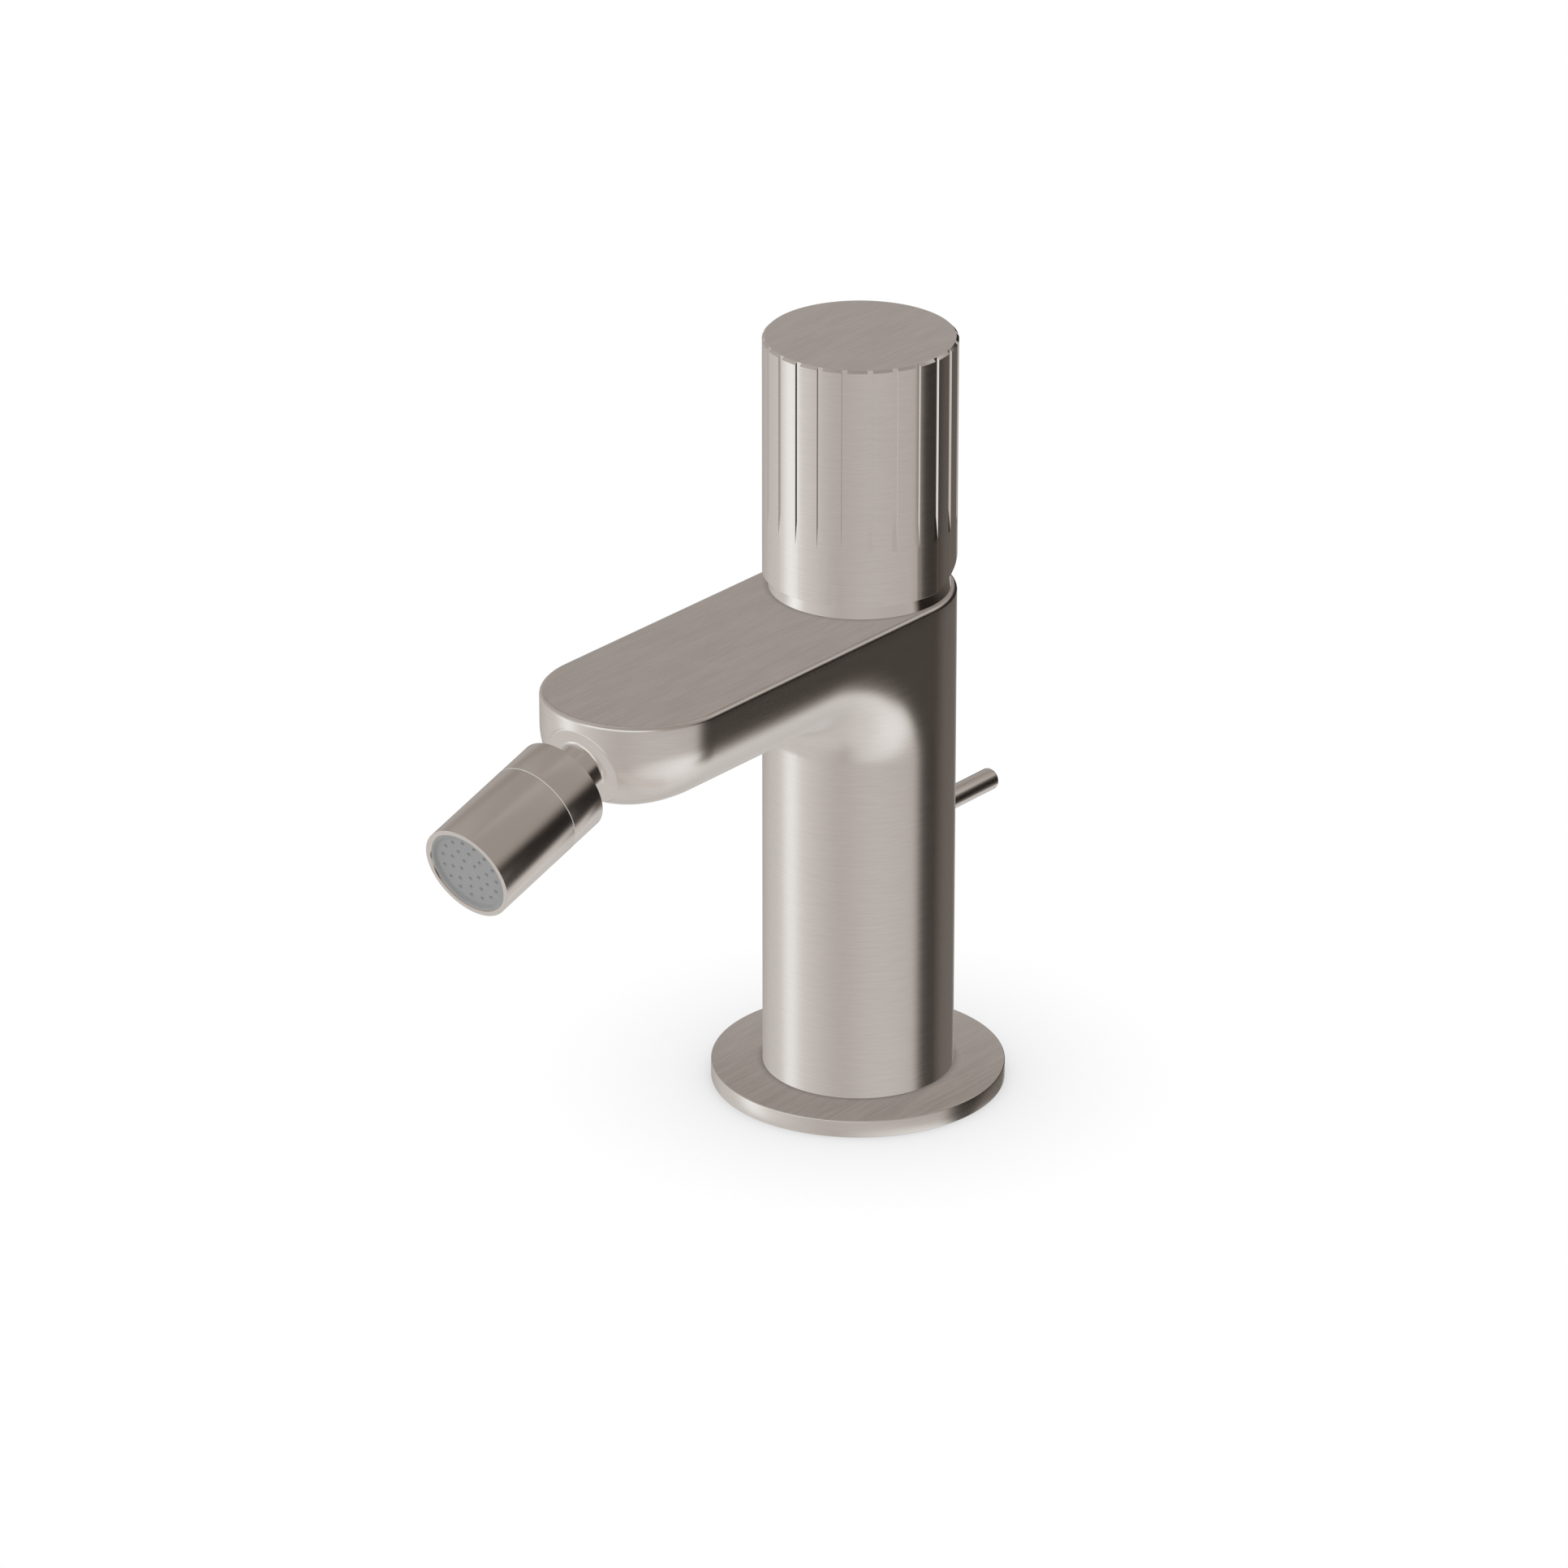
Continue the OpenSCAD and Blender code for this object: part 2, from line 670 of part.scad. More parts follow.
module stem_seal() {
    color(rubber) on_nozzle_axis()
        ring(stem_thread_d / 2 - fit_gap, stem_bore_d / 2, -stem_depth - stem_seal_t, -stem_depth);
}

// Hole for the pivot pin, right across
module pivot_hole() {
    translate([-body_d, 0, pivot_z]) rotate([0, 90, 0])
        cylinder(r = pivot_d / 2 + fit_gap, h = 2 * body_d);
}

module cartridge_rotor() {
    color(white_plastic) difference() {
        union() {
            bar(housing_in - free_gap, rotor_z, rotor_z + rotor_flange_t);
            bar(rotor_d / 2, rotor_z, pivot_z + rotor_rise);
        }
        translate([-slot_w / 2, -slot_len / 2, rotor_z - cut])
            cube([slot_w, slot_len, pivot_z + rotor_rise - rotor_z + 2 * cut]);
        pivot_hole();
    }
}

module pivot_pin() {
    color(dark_metal) translate([-pivot_len / 2, 0, pivot_z]) rotate([0, 90, 0])
        cylinder(d = pivot_d, h = pivot_len);
}

module moving_disc() {
    rim = 3;
    roof = 1.2;
    color(ceramic) translate([0, disc_y, 0]) difference() {
        bar(moving_disc_d / 2, moving_disc_z, moving_disc_z + moving_disc_t);
        bar(moving_disc_d / 2 - rim, moving_disc_z - cut, moving_disc_z + moving_disc_t - roof);
    }
}

module disc_carrier() {
    color(grey_plastic) difference() {
        translate([0, disc_y, 0]) bar(moving_disc_d / 2, carrier_z, carrier_z + carrier_t);
        bar(lever_ball_r + 2 * run_gap, carrier_z - cut, carrier_z + carrier_t + cut);
    }
}

module lever_stem() {
    block_low = 4.8;
    finger_r = lever_ball_r - 0.4;
    color(dark_metal) difference() {
        union() {
            translate([0, 0, lever_ball_z]) sphere(r = lever_ball_r);
            bar(finger_r, lever_ball_z, pivot_z - block_low + cut);
            translate([-shank_w / 2, -shank_w / 2, pivot_z - block_low])
                cube([shank_w, shank_w, shank_rise + block_low]);
        }
        pivot_hole();
    }
}

// Room for the grub screw, from the lever's shank out through the back of the knob
module grub_way(r) {
    translate([0, shank_w / 2, grub_z]) rotate([-90, 0, 0]) cylinder(r = r, h = knob_r);
}

module knob_insert() {
    color(brass) difference() {
        bar(insert_d / 2 - fit_gap, insert_low, insert_top);
        translate([-shank_w / 2 - fit_gap, -shank_w / 2 - fit_gap, insert_low - cut])
            cube([shank_w + 2 * fit_gap, shank_w + 2 * fit_gap, shank_top - insert_low + cut + free_gap]);
        grub_way(grub_d / 2);
    }
}

// One groove of the knob, cut straight and run out by a wheel
module groove() {
    floor_r = knob_r - groove_depth;
    full_z = pivot_z + groove_start;
    translate([floor_r, -groove_w / 2, full_z]) cube([groove_depth + cut, groove_w, knob_h]);
    translate([floor_r + groove_wheel_r, groove_w / 2, full_z]) rotate([90, 0, 0])
        cylinder(r = groove_wheel_r, h = groove_w);
}

module knob_shell() {
    color(metal) difference() {
        rotate_extrude() polygon([
            [0, pivot_z], [knob_r, pivot_z], [knob_r, knob_top - knob_chamfer],
            [knob_r - knob_chamfer, knob_top], [0, knob_top]]);
        bar(knob_r - skirt_t, pivot_z - cut, skirt_top);
        bar(insert_d / 2, pivot_z, insert_top);
        for (i = [0:groove_count - 1]) rotate([0, 0, -90 + 360 * i / groove_count]) groove();
        translate([-body_d, 0, pivot_z]) rotate([90, 0, 90]) linear_extrude(2 * body_d)
            polygon([[0, -cut], [0, 0], [body_d, body_d * tan(relief_slope)], [body_d, -cut]]);
        grub_way(grub_d / 2);
    }
}

module grub_screw() {
    color(dark_metal) translate([0, shank_w / 2 + fit_gap, grub_z]) rotate([-90, 0, 0]) difference() {
        cylinder(r = grub_d / 2 - fit_gap, h = grub_len);
        translate([0, 0, grub_len - grub_d / 2]) cylinder(d = grub_d / 2, h = grub_d / 2 + cut, $fn = 6);
    }
}

// Thin round-backed ring between the ball and the rear sleeve
module slip_ring() {
    color(white_plastic) on_nozzle_axis() translate([0, 0, ball_at]) difference() {
        intersection() {
            sphere(r = slip_out);
            bar(slip_out + cut, slip_back, slip_front);
        }
        sphere(r = slip_in);
    }
}

// Seat that presses on the front of the ball and turns inside the front sleeve
module ball_seat() {
    color(white_plastic) on_nozzle_axis() difference() {
        bar(seat_out, seat_back, seat_front);
        translate([0, 0, ball_at]) sphere(r = slip_in);
        bar(seat_bore_r, seat_back, seat_front + cut);
    }
}

module rear_sleeve() {
    color(metal) on_nozzle_axis() difference() {
        rotate_extrude() polygon([
            [0, nozzle_back], [nozzle_r, nozzle_back], [nozzle_r, seam_at - seam_chamfer],
            [nozzle_r - seam_chamfer, seam_at], [spigot_r, seam_at],
            [spigot_r, seam_at + spigot_len], [0, seam_at + spigot_len]]);
        translate([0, 0, ball_at]) sphere(r = socket_r);
        bar(seat_out + run_gap, ball_at, seam_at + spigot_len + cut);
        rotate_extrude() polygon([
            [0, nozzle_back - cut], [flare_r, nozzle_back - cut], [flare_r, nozzle_back],
            [corner_r, corner_at], [throat_r, throat_at], [0, throat_at]]);
    }
}

module front_sleeve() {
    color(metal) on_nozzle_axis() rotate_extrude() polygon([
        [spigot_r + fit_gap, seam_at], [nozzle_r - seam_chamfer, seam_at],
        [nozzle_r, seam_at + seam_chamfer], [nozzle_r, nozzle_end - end_chamfer],
        [nozzle_r - end_chamfer, nozzle_end], [lip_r, nozzle_end],
        [lip_r, nozzle_end - cup_depth], [cup_bore_r, nozzle_end - cup_depth],
        [cup_bore_r, seat_front + fit_gap], [seat_out + run_gap, seat_front + fit_gap],
        [seat_out + run_gap, seam_at + spigot_len + fit_gap],
        [spigot_r + fit_gap, seam_at + spigot_len + fit_gap]]);
}

cup_floor = nozzle_end - cup_depth;
screen_at = cup_floor + cup_washer_t;
plate_at = screen_at + screen_t;
spray_face = nozzle_end - spray_face_depth;

module outlet_washer() {
    color(rubber) on_nozzle_axis() ring(lip_r - fit_gap, cup_bore_r, cup_floor, screen_at);
}

// Disc of fine holes that spreads the flow behind the spray plate
module flow_screen() {
    color(dark_metal) on_nozzle_axis() difference() {
        bar(lip_r - fit_gap, screen_at, plate_at);
        for (i = [1:screen_rings], k = [0:screen_count * i - 1])
            rotate([0, 0, 360 * k / (screen_count * i)])
                translate([screen_step * i, 0, 0]) bar(screen_hole_r, screen_at - cut, plate_at + cut);
    }
}

// Grey cup with a recessed face and rings of spray holes
module spray_plate() {
    color(grey_plastic) on_nozzle_axis() difference() {
        rotate_extrude() polygon([
            [0, spray_face - spray_floor_t], [spray_hollow_r, spray_face - spray_floor_t],
            [spray_hollow_r, plate_at], [lip_r - fit_gap, plate_at],
            [lip_r - fit_gap, nozzle_end - spray_rim_drop],
            [spray_rim_r, nozzle_end - spray_rim_drop], [spray_floor_r, spray_face], [0, spray_face]]);
        for (i = [1:spray_rings], k = [0:spray_ring_count * i - 1])
            rotate([0, 0, spray_phase + 360 * k / (spray_ring_count * i)])
                translate([spray_ring_step * i, 0, 0])
                    bar(spray_hole_d / 2, spray_face - spray_floor_t - cut, spray_face + cut);
    }
}

module pull_pin() {
    round_end = 0.6;
    color(metal) translate([0, pull_y, pull_z]) rotate([-90, 0, 0]) rotate_extrude() polygon(concat(
        [[0, 0], [pull_d / 2, 0]],
        arc(pull_d / 2 - round_end, pull_end - pull_y - round_end, round_end, 0, 90, 4),
        [[0, pull_end - pull_y]]));
}

module lift_head() {
    color(brass) difference() {
        translate([0, lift_y, pull_z]) bar(lift_bore_r - run_gap, -lift_head_h / 2, lift_head_h / 2);
        translate([0, pull_y - fit_gap, pull_z]) rotate([-90, 0, 0])
            cylinder(r = pull_d / 2 + fit_gap, h = body_r);
        translate([0, lift_y, pull_z - lift_head_h / 2 - cut])
            cylinder(r = lift_shank_d / 2 + fit_gap, h = rod_socket + cut);
    }
}

module lift_rod() {
    color(dark_metal) translate([0, lift_y, 0]) {
        bar(lift_shank_d / 2, shank_end, rod_top);
        bar(lift_rod_d / 2, -lift_below, shank_end + cut);
    }
}

body_casting();
base_flange();
base_gasket();
fixing_stud();
deck_gasket();
deck_washer();
fixing_nut();
guide_bush();
cartridge_base();
port_seals();
fixed_disc();
cartridge_housing();
cartridge_nut();
dome_collar();
nozzle_stem();
stem_seal();
cartridge_rotor();
pivot_pin();
moving_disc();
disc_carrier();
lever_stem();
knob_insert();
knob_shell();
grub_screw();
slip_ring();
ball_seat();
rear_sleeve();
front_sleeve();
outlet_washer();
flow_screen();
spray_plate();
pull_pin();
lift_head();
lift_rod();
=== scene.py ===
"""Bidet mixer in brushed nickel: the finished surfaces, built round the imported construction."""
import json
import math

import bmesh
import bpy
from mathutils import Matrix, Vector


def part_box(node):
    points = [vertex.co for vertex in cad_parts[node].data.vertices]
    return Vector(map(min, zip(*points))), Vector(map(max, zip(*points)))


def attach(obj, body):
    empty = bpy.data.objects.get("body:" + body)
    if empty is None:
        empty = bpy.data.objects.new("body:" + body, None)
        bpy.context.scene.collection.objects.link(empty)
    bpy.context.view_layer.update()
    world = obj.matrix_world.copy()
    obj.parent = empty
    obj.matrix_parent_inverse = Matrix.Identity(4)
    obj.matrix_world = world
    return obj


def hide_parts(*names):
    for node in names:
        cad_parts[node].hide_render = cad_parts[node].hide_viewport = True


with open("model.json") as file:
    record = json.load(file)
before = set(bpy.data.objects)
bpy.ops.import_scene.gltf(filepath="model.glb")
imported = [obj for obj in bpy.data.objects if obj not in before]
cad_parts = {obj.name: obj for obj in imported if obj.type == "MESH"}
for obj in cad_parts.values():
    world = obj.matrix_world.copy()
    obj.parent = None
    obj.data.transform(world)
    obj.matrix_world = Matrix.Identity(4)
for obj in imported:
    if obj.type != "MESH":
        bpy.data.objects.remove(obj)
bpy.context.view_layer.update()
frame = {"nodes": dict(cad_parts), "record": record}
scene = bpy.context.scene
scene.view_settings.view_transform = "Standard"

# Lengths below are in millimetres; meshes are written in metres
MM = 0.001


def corners_of(node):
    """Lowest and highest corner of a construction node, in millimetres."""
    low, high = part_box(node)
    return low / MM, high / MM


body_low, body_high = corners_of("body_casting")
knob_low, knob_high = corners_of("knob_shell")
_, flange_high = corners_of("base_flange")
_, collar_high = corners_of("dome_collar")
pin_low, pin_high = corners_of("pull_pin")
stud_low, stud_high = corners_of("fixing_stud")
nut_low, nut_high = corners_of("fixing_nut")
rod_low, rod_high = corners_of("lift_rod")

# Gap round a piece that sits in a bore, and how far a cutter goes past the face that it opens
fit_gap = 0.05
past = 1

# Turns an upright axis to the back
to_back = Matrix.Rotation(-math.pi / 2, 4, "X")

# Column and spout
column_r = body_high.x
spout_top = body_high.z
spout_end = -body_low.y
tip_y = column_r - spout_end
spout_depth = 24
spout_low = spout_top - spout_depth
top_edge = 1.2
side_round = 18
tip_round = 14
bend_r = 12.5
side_low = spout_low + side_round
bend_y = -(column_r + bend_r)
bend_z = spout_low - bend_r
spigot_r = 18
flange_t = flange_high.z

# Nozzle seat and nozzle, measured outwards along the nozzle's axis
nozzle_tilt = math.radians(17.5)
seat_y = -(spout_end - 3.15)
seat_z = spout_top - 12.5
seat_r = 10.1
seat_rise = 0.6
neck_r = 5.9
neck_sink = 3
neck_len = 7.6
neck_corner = neck_len + 0.8
waist_r = 4.6
nozzle_r = 11.58
sleeve_len = 9.9
nozzle_len = 34
seam = neck_len + sleeve_len
nozzle_end = neck_len + nozzle_len
ball_r = 8.4
ball_at = neck_len + 9
joint_r = 10.45
joint_depth = 3
socket_r = 9.5
lip_r = 10.45
mouth_depth = 8
nozzle_place = (Matrix.Translation((0, seat_y, seat_z))
                @ Matrix.Rotation(math.pi / 2 + nozzle_tilt, 4, "X"))
nozzle_side = nozzle_place.to_3x3() @ Vector((0, 1, 0))
# Sign of the nozzle's own Y axis that points down
card_side = -1 if nozzle_side.z > 0 else 1

# Knob
pivot_z = knob_low.z
knob_top = knob_high.z
groove_count = 24
groove_w = 1.3
groove_depth = 0.6
groove_start = pivot_z + 18.8
groove_end = pivot_z + 13.2
knob_chamfer = 0.6
grub_z = pivot_z + 26
grub_r = 2.5
skirt_r = column_r - 1
skirt_top = pivot_z + 21.2
relief_slope = math.radians(18.4)

# Waste pull
lift_y = (rod_low.y + rod_high.y) / 2
pull_r = pin_high.x
pull_z = (pin_low.z + pin_high.z) / 2
pull_travel = 12


class Value:
    """A socket's value: an expression on it adds Math nodes to its tree."""

    def __init__(self, nodes, socket):
        self.nodes = nodes
        self.socket = socket

    def math(self, operation, *others):
        inputs = dict(enumerate((self, *others)))
        return self.nodes.add("ShaderNodeMath", {"operation": operation}, inputs)["Value"]

    def __add__(self, other):
        return self.math("ADD", other)

    def __sub__(self, other):
        return self.math("SUBTRACT", other)

    def __rsub__(self, other):
        inputs = {0: other, 1: self}
        return self.nodes.add("ShaderNodeMath", {"operation": "SUBTRACT"}, inputs)["Value"]

    def __mul__(self, other):
        return self.math("MULTIPLY", other)

    def __truediv__(self, other):
        return self.math("DIVIDE", other)

    __radd__ = __add__
    __rmul__ = __mul__


class Made:
    """A new node, whose outputs are values by their names."""

    def __init__(self, nodes, node):
        self.nodes = nodes
        self.node = node

    def __getitem__(self, name):
        return Value(self.nodes, self.node.outputs[name])


class Nodes:
    """Writes one node tree."""

    def __init__(self, tree):
        self.tree = tree
        tree.nodes.clear()

    def add(self, kind, settings=None, inputs=None, stops=()):
        """A node with its settings, its inputs and the stops of its colour ramp."""
        node = self.tree.nodes.new(kind)
        for name, value in (settings or {}).items():
            setattr(node, name, value)
        if stops:
            ramp = node.color_ramp.elements
            while len(ramp) < len(stops):
                ramp.new(1)
            for element, (place, colour) in zip(ramp, stops):
                element.position = place
                element.color = (*colour, 1)
        for name, value in (inputs or {}).items():
            self.feed(node.inputs[name], value)
        return Made(self, node)

    def feed(self, socket, value):
        """Links a value to a socket, or sets a plain number on it."""
        if isinstance(value, Made):
            value = Value(self, value.node.outputs[0])
        if isinstance(value, Value):
            self.tree.links.new(value.socket, socket)
        else:
            socket.default_value = value

    def ramp(self, value, stops):
        """Colour that a ramp of stops gives a value."""
        return self.add("ShaderNodeValToRGB", inputs={"Fac": value}, stops=stops)["Color"]

    def step(self, value, start, finish):
        """Smooth step from 0 at start to 1 at finish."""
        settings = {"interpolation_type": "SMOOTHSTEP"}
        inputs = {"Value": value, "From Min": start, "From Max": finish}
        return self.add("ShaderNodeMapRange", settings, inputs)["Result"]

    def mix(self, factor, first, second):
        """Colour between two colours."""
        inputs = {"Factor": factor, 6: first, 7: second}
        return Value(self, self.add("ShaderNodeMix", {"data_type": "RGBA"}, inputs).node.outputs[2])

    def scaled(self, vector, scale):
        """A vector or colour times another, part by part."""
        inputs = {0: vector, 1: scale}
        return self.add("ShaderNodeVectorMath", {"operation": "MULTIPLY"}, inputs)["Vector"]

    def noise(self, vector, scale, detail, roughness=0.5):
        """Noise from 0 to 1."""
        inputs = {"Vector": vector, "Scale": scale, "Detail": detail, "Roughness": roughness}
        return self.add("ShaderNodeTexNoise", inputs=inputs)["Fac"]


# Materials

def surface(name, paint):
    """A material whose Principled shader gets what paint(nodes, place) returns for its sockets."""
    material = bpy.data.materials.new(name)
    material.use_nodes = True
    nodes = Nodes(material.node_tree)
    place = nodes.add("ShaderNodeTexCoord")["Object"]
    shader = nodes.add("ShaderNodeBsdfPrincipled", inputs=paint(nodes, place))["BSDF"]
    nodes.add("ShaderNodeOutputMaterial", inputs={"Surface": shader})
    return material


def shade(colour, factor):
    """A colour made lighter or darker, with its fourth channel."""
    return (*[min(1, part * factor) for part in colour], 1)


def bump(nodes, height, strength, distance):
    """Normals of a fine relief."""
    inputs = {"Height": height, "Strength": strength, "Distance": distance}
    return nodes.add("ShaderNodeBump", inputs=inputs)["Normal"]


NICKEL = (0.46, 0.417, 0.384)
WHITE = (1, 1, 1, 1)


def brushed(name, colour, roughness, streak, hollow_shade_r, low, high):
    """Brushed metal. Walls are brushed level, along X and Y, and flat tops along the spout.

    Between two heights it is painted dark inside a radius, as shade where a slot or a screw hole goes in.
    """
    wall_grain = (150, 150, 3400)
    top_grain = (1500, 70, 1500)
    haze_grain = (240, 45, 240)
    contact_shade_reach = 1.8 * MM
    painted_contact_shade = (0.25, 0.24, 0.23, 1)
    unshaded_top_tint = (1.04, 1.048, 1.07, 1)
    painted_hollow_shade = (0.12, 0.11, 0.1, 1)
    millimetres = (1 / MM, 1 / MM, 1 / MM)

    def paint(nodes, place):
        facing = nodes.add("ShaderNodeNewGeometry")["Normal"]
        upward = nodes.add("ShaderNodeSeparateXYZ", inputs={0: facing})["Z"].math("ABSOLUTE")
        flat = nodes.step(upward, 0.75, 0.95)
        wall_lines = nodes.noise(nodes.scaled(place, wall_grain), 1, 4, 0.7) * 0.6 + 0.2
        top_lines = nodes.noise(nodes.scaled(place, top_grain), 1, 4, 0.7) * 1.8 - 0.4
        lines = wall_lines + (top_lines - wall_lines) * flat
        haze = nodes.noise(nodes.scaled(place, haze_grain), 1, 4, 0.65)
        worn = lines - 0.5 + (haze - 0.5) * (flat * 0.9 + 0.1)
        base = nodes.mix(nodes.step(worn, -0.3, 0.3), shade(colour, 1 - streak), shade(colour, 1 + streak))
        # Painted shade: flat tops darken close to a wall by ambient occlusion, and open tops are a little
        # lighter and bluer
        inputs = {"Distance": contact_shade_reach}
        contact_ao = nodes.add("ShaderNodeAmbientOcclusion", {"samples": 8}, inputs)["AO"]
        contact_shade = nodes.mix(contact_ao, painted_contact_shade, unshaded_top_tint)
        base = nodes.scaled(base, nodes.mix(flat, WHITE, contact_shade))
        # Painted shade inside a slot or screw hole, between two heights and inside a radius
        axes = nodes.add("ShaderNodeSeparateXYZ", inputs={0: nodes.scaled(place, millimetres)})
        x, y, z = axes["X"], axes["Y"], axes["Z"]
        hollow_shade = nodes.step((x * x + y * y).math("SQRT"), hollow_shade_r, hollow_shade_r - 0.8)
        hollow_shade = hollow_shade * nodes.step(z, low, low + 0.2) * nodes.step(z, high, high - 0.2)
        base = nodes.scaled(base, nodes.mix(hollow_shade, WHITE, painted_hollow_shade))
        return {"Base Color": base, "Metallic": 1.0, "Roughness": (lines - 0.5) * 0.14 + roughness,
                "Normal": bump(nodes, lines, 0.3, 0.005 * MM)}
    return surface(name, paint)


def turned_metal(name, colour, roughness, axis, streak):
    """Turned metal, with fine rings round an axis."""
    def paint(nodes, place):
        inputs = {0: place, 1: axis}
        along = nodes.add("ShaderNodeVectorMath", {"operation": "DOT_PRODUCT"}, inputs)["Value"]
        inputs = {"W": along, "Scale": 6500, "Detail": 3}
        rings = nodes.add("ShaderNodeTexNoise", {"noise_dimensions": "1D"}, inputs)["Fac"]
        haze = nodes.noise(place, 160, 3)
        base = nodes.mix(rings, shade(colour, 1 - streak), shade(colour, 1 + streak))
        rough = (rings - 0.5) * 0.07 + (haze - 0.5) * 0.05 + roughness
        return {"Base Color": base, "Metallic": 1.0, "Roughness": rough,
                "Normal": bump(nodes, rings, 0.12, 0.01 * MM)}
    return surface(name, paint)


def moulded(name, colour, roughness, grain, gloss=0.5):
    """Moulded plastic or rubber with a fine grain and slight unevenness."""
    def paint(nodes, place):
        fine = nodes.noise(place, 5200, 3)
        broad = nodes.noise(place, 130, 2)
        base = nodes.mix(broad, shade(colour, 0.94), shade(colour, 1.05))
        rough = (fine - 0.5) * 0.2 + roughness
        return {"Base Color": base, "Roughness": rough, "Specular IOR Level": gloss,
                "Normal": bump(nodes, fine, grain, 0.02 * MM)}
    return surface(name, paint)


upright = (0, 0, 1)
nozzle_axis = (0, -math.cos(nozzle_tilt), -math.sin(nozzle_tilt))
# Where painted shade darkens the inside of the pull pin's slot and of the grub screw's hole
slot_painted_shade = (column_r - 0.1, pull_z - 4, pull_z + pull_travel + 4)
grub_painted_shade = (column_r - groove_depth - 0.2, grub_z - 4, knob_top - 3)
FINISHES = {
    "brushed_nickel": brushed("brushed nickel", NICKEL, 0.24, 0.06, *slot_painted_shade),
    "knob_nickel": brushed("brushed nickel of the knob", NICKEL, 0.2, 0.06, *grub_painted_shade),
    "satin_nozzle": turned_metal("satin nickel", NICKEL, 0.22, nozzle_axis, 0.02),
    "polished_collar": turned_metal("polished nickel", NICKEL, 0.08, upright, 0.01),
    "zinc_steel": turned_metal("zinc plated steel", (0.5, 0.5, 0.49), 0.34, upright, 0.06),
    "plain_brass": turned_metal("machined brass", (0.6, 0.43, 0.18), 0.27, upright, 0.05),
    "black_rubber": moulded("black rubber", (0.018, 0.018, 0.018), 0.6, 0.3, 0.3),
    "white_plastic": moulded("white acetal", (0.72, 0.72, 0.69), 0.38, 0.1),
    "grey_plastic": moulded("grey spray plate", (0.31, 0.31, 0.303), 0.5, 0.12),
    "ceramic": moulded("lapped ceramic", (0.8, 0.79, 0.75), 0.12, 0.02),
}


# Mesh helpers

def finished(name, points, faces, place=Matrix(), sharp=30):
    """A closed mesh object from points in millimetres, with smooth faces and sharp corners."""
    shape = bmesh.new()
    made = [shape.verts.new(place @ Vector(point)) for point in points]
    for face in faces:
        if len(set(face)) > 2:
            shape.faces.new([made[index] for index in face])
    bmesh.ops.remove_doubles(shape, verts=shape.verts, dist=0.0005)
    bmesh.ops.dissolve_degenerate(shape, edges=shape.edges, dist=0.0002)
    bmesh.ops.recalc_face_normals(shape, faces=shape.faces)
    bmesh.ops.scale(shape, vec=(MM, MM, MM), verts=shape.verts)
    mesh = bpy.data.meshes.new(name)
    shape.to_mesh(mesh)
    shape.free()
    smooth(mesh, sharp)
    thing = bpy.data.objects.new(name, mesh)
    scene.collection.objects.link(thing)
    return thing


def smooth(mesh, sharp):
    """Smooth shading, with sharp edges past an angle in degrees."""
    mesh.shade_smooth()
    mesh.set_sharp_from_angle(angle=math.radians(sharp))


def spread(first, last, steps):
    """Evenly spaced values from first to last, both included."""
    return [first + (last - first) * step / steps for step in range(steps + 1)]


def softened(corners):
    """Profile points from (r, z) or (r, z, radius) corners; a radius turns its corner into an arc."""
    steps = 4
    points = []
    for index, corner in enumerate(corners):
        here = Vector(corner[:2])
        if len(corner) < 3:
            points.append(here)
            continue
        radius = corner[2]
        before = (Vector(corners[index - 1][:2]) - here).normalized()
        after = (Vector(corners[(index + 1) % len(corners)][:2]) - here).normalized()
        half = before.angle(after) / 2
        centre = here + (before + after).normalized() * radius / math.sin(half)
        first = (here + before * radius / math.tan(half) - centre).normalized()
        last = (here + after * radius / math.tan(half) - centre).normalized()
        points += [centre + first.slerp(last, share) * radius for share in spread(0, 1, steps)]
    return points


def turned(name, corners, place=Matrix(), turns=160, sharp=30):
    """A closed profile of (r, z) corners turned about Z and put in its place."""
    profile = softened(corners)
    count = len(profile)
    points = []
    faces = []
    for turn in range(turns):
        angle = math.tau * turn / turns
        points += [(r * math.cos(angle), r * math.sin(angle), z) for r, z in profile]
        here = turn * count
        there = (turn + 1) % turns * count
        for k in range(count):
            after = (k + 1) % count
            if profile[k][0] or profile[after][0]:
                faces.append((here + k, there + k, there + after, here + after))
    return finished(name, points, faces, place, sharp)


def sheet(points, faces, rows):
    """Adds a sheet of rows of points, joined by four-sided faces."""
    start = len(points)
    width = len(rows[0])
    points += [point for row in rows for point in row]
    for row in range(len(rows) - 1):
        for k in range(width - 1):
            corner = start + row * width + k
            faces.append((corner, corner + 1, corner + 1 + width, corner + width))


def cap(points, faces, loop):
    """Adds one flat face inside a loop of points."""
    start = len(points)
    points += loop
    faces.append(tuple(range(start, start + len(loop))))


def plain(thing):
    """Turns a piece's modifiers into its plain mesh."""
    bpy.context.view_layer.update()
    graph = bpy.context.evaluated_depsgraph_get()
    mesh = bpy.data.meshes.new_from_object(thing.evaluated_get(graph))
    thing.modifiers.clear()
    thing.data = mesh
    return mesh


def applied(thing, sharp=30):
    """The same, with its shading made smooth again."""
    smooth(plain(thing), sharp)


def evened(thing):
    """Keeps the shading of large flat faces even, right up to their rounded rims."""
    even = thing.modifiers.new("even", "WEIGHTED_NORMAL")
    even.keep_sharp = True
    plain(thing)
    return thing


def cut(thing, cutters, sharp):
    """Cuts the cutters out of a piece and throws them away."""
    for cutter in cutters:
        tool = thing.modifiers.new(cutter.name, "BOOLEAN")
        tool.object = cutter
        tool.solver = "EXACT"
    applied(thing, sharp)
    for cutter in cutters:
        bpy.data.objects.remove(cutter)
    return thing


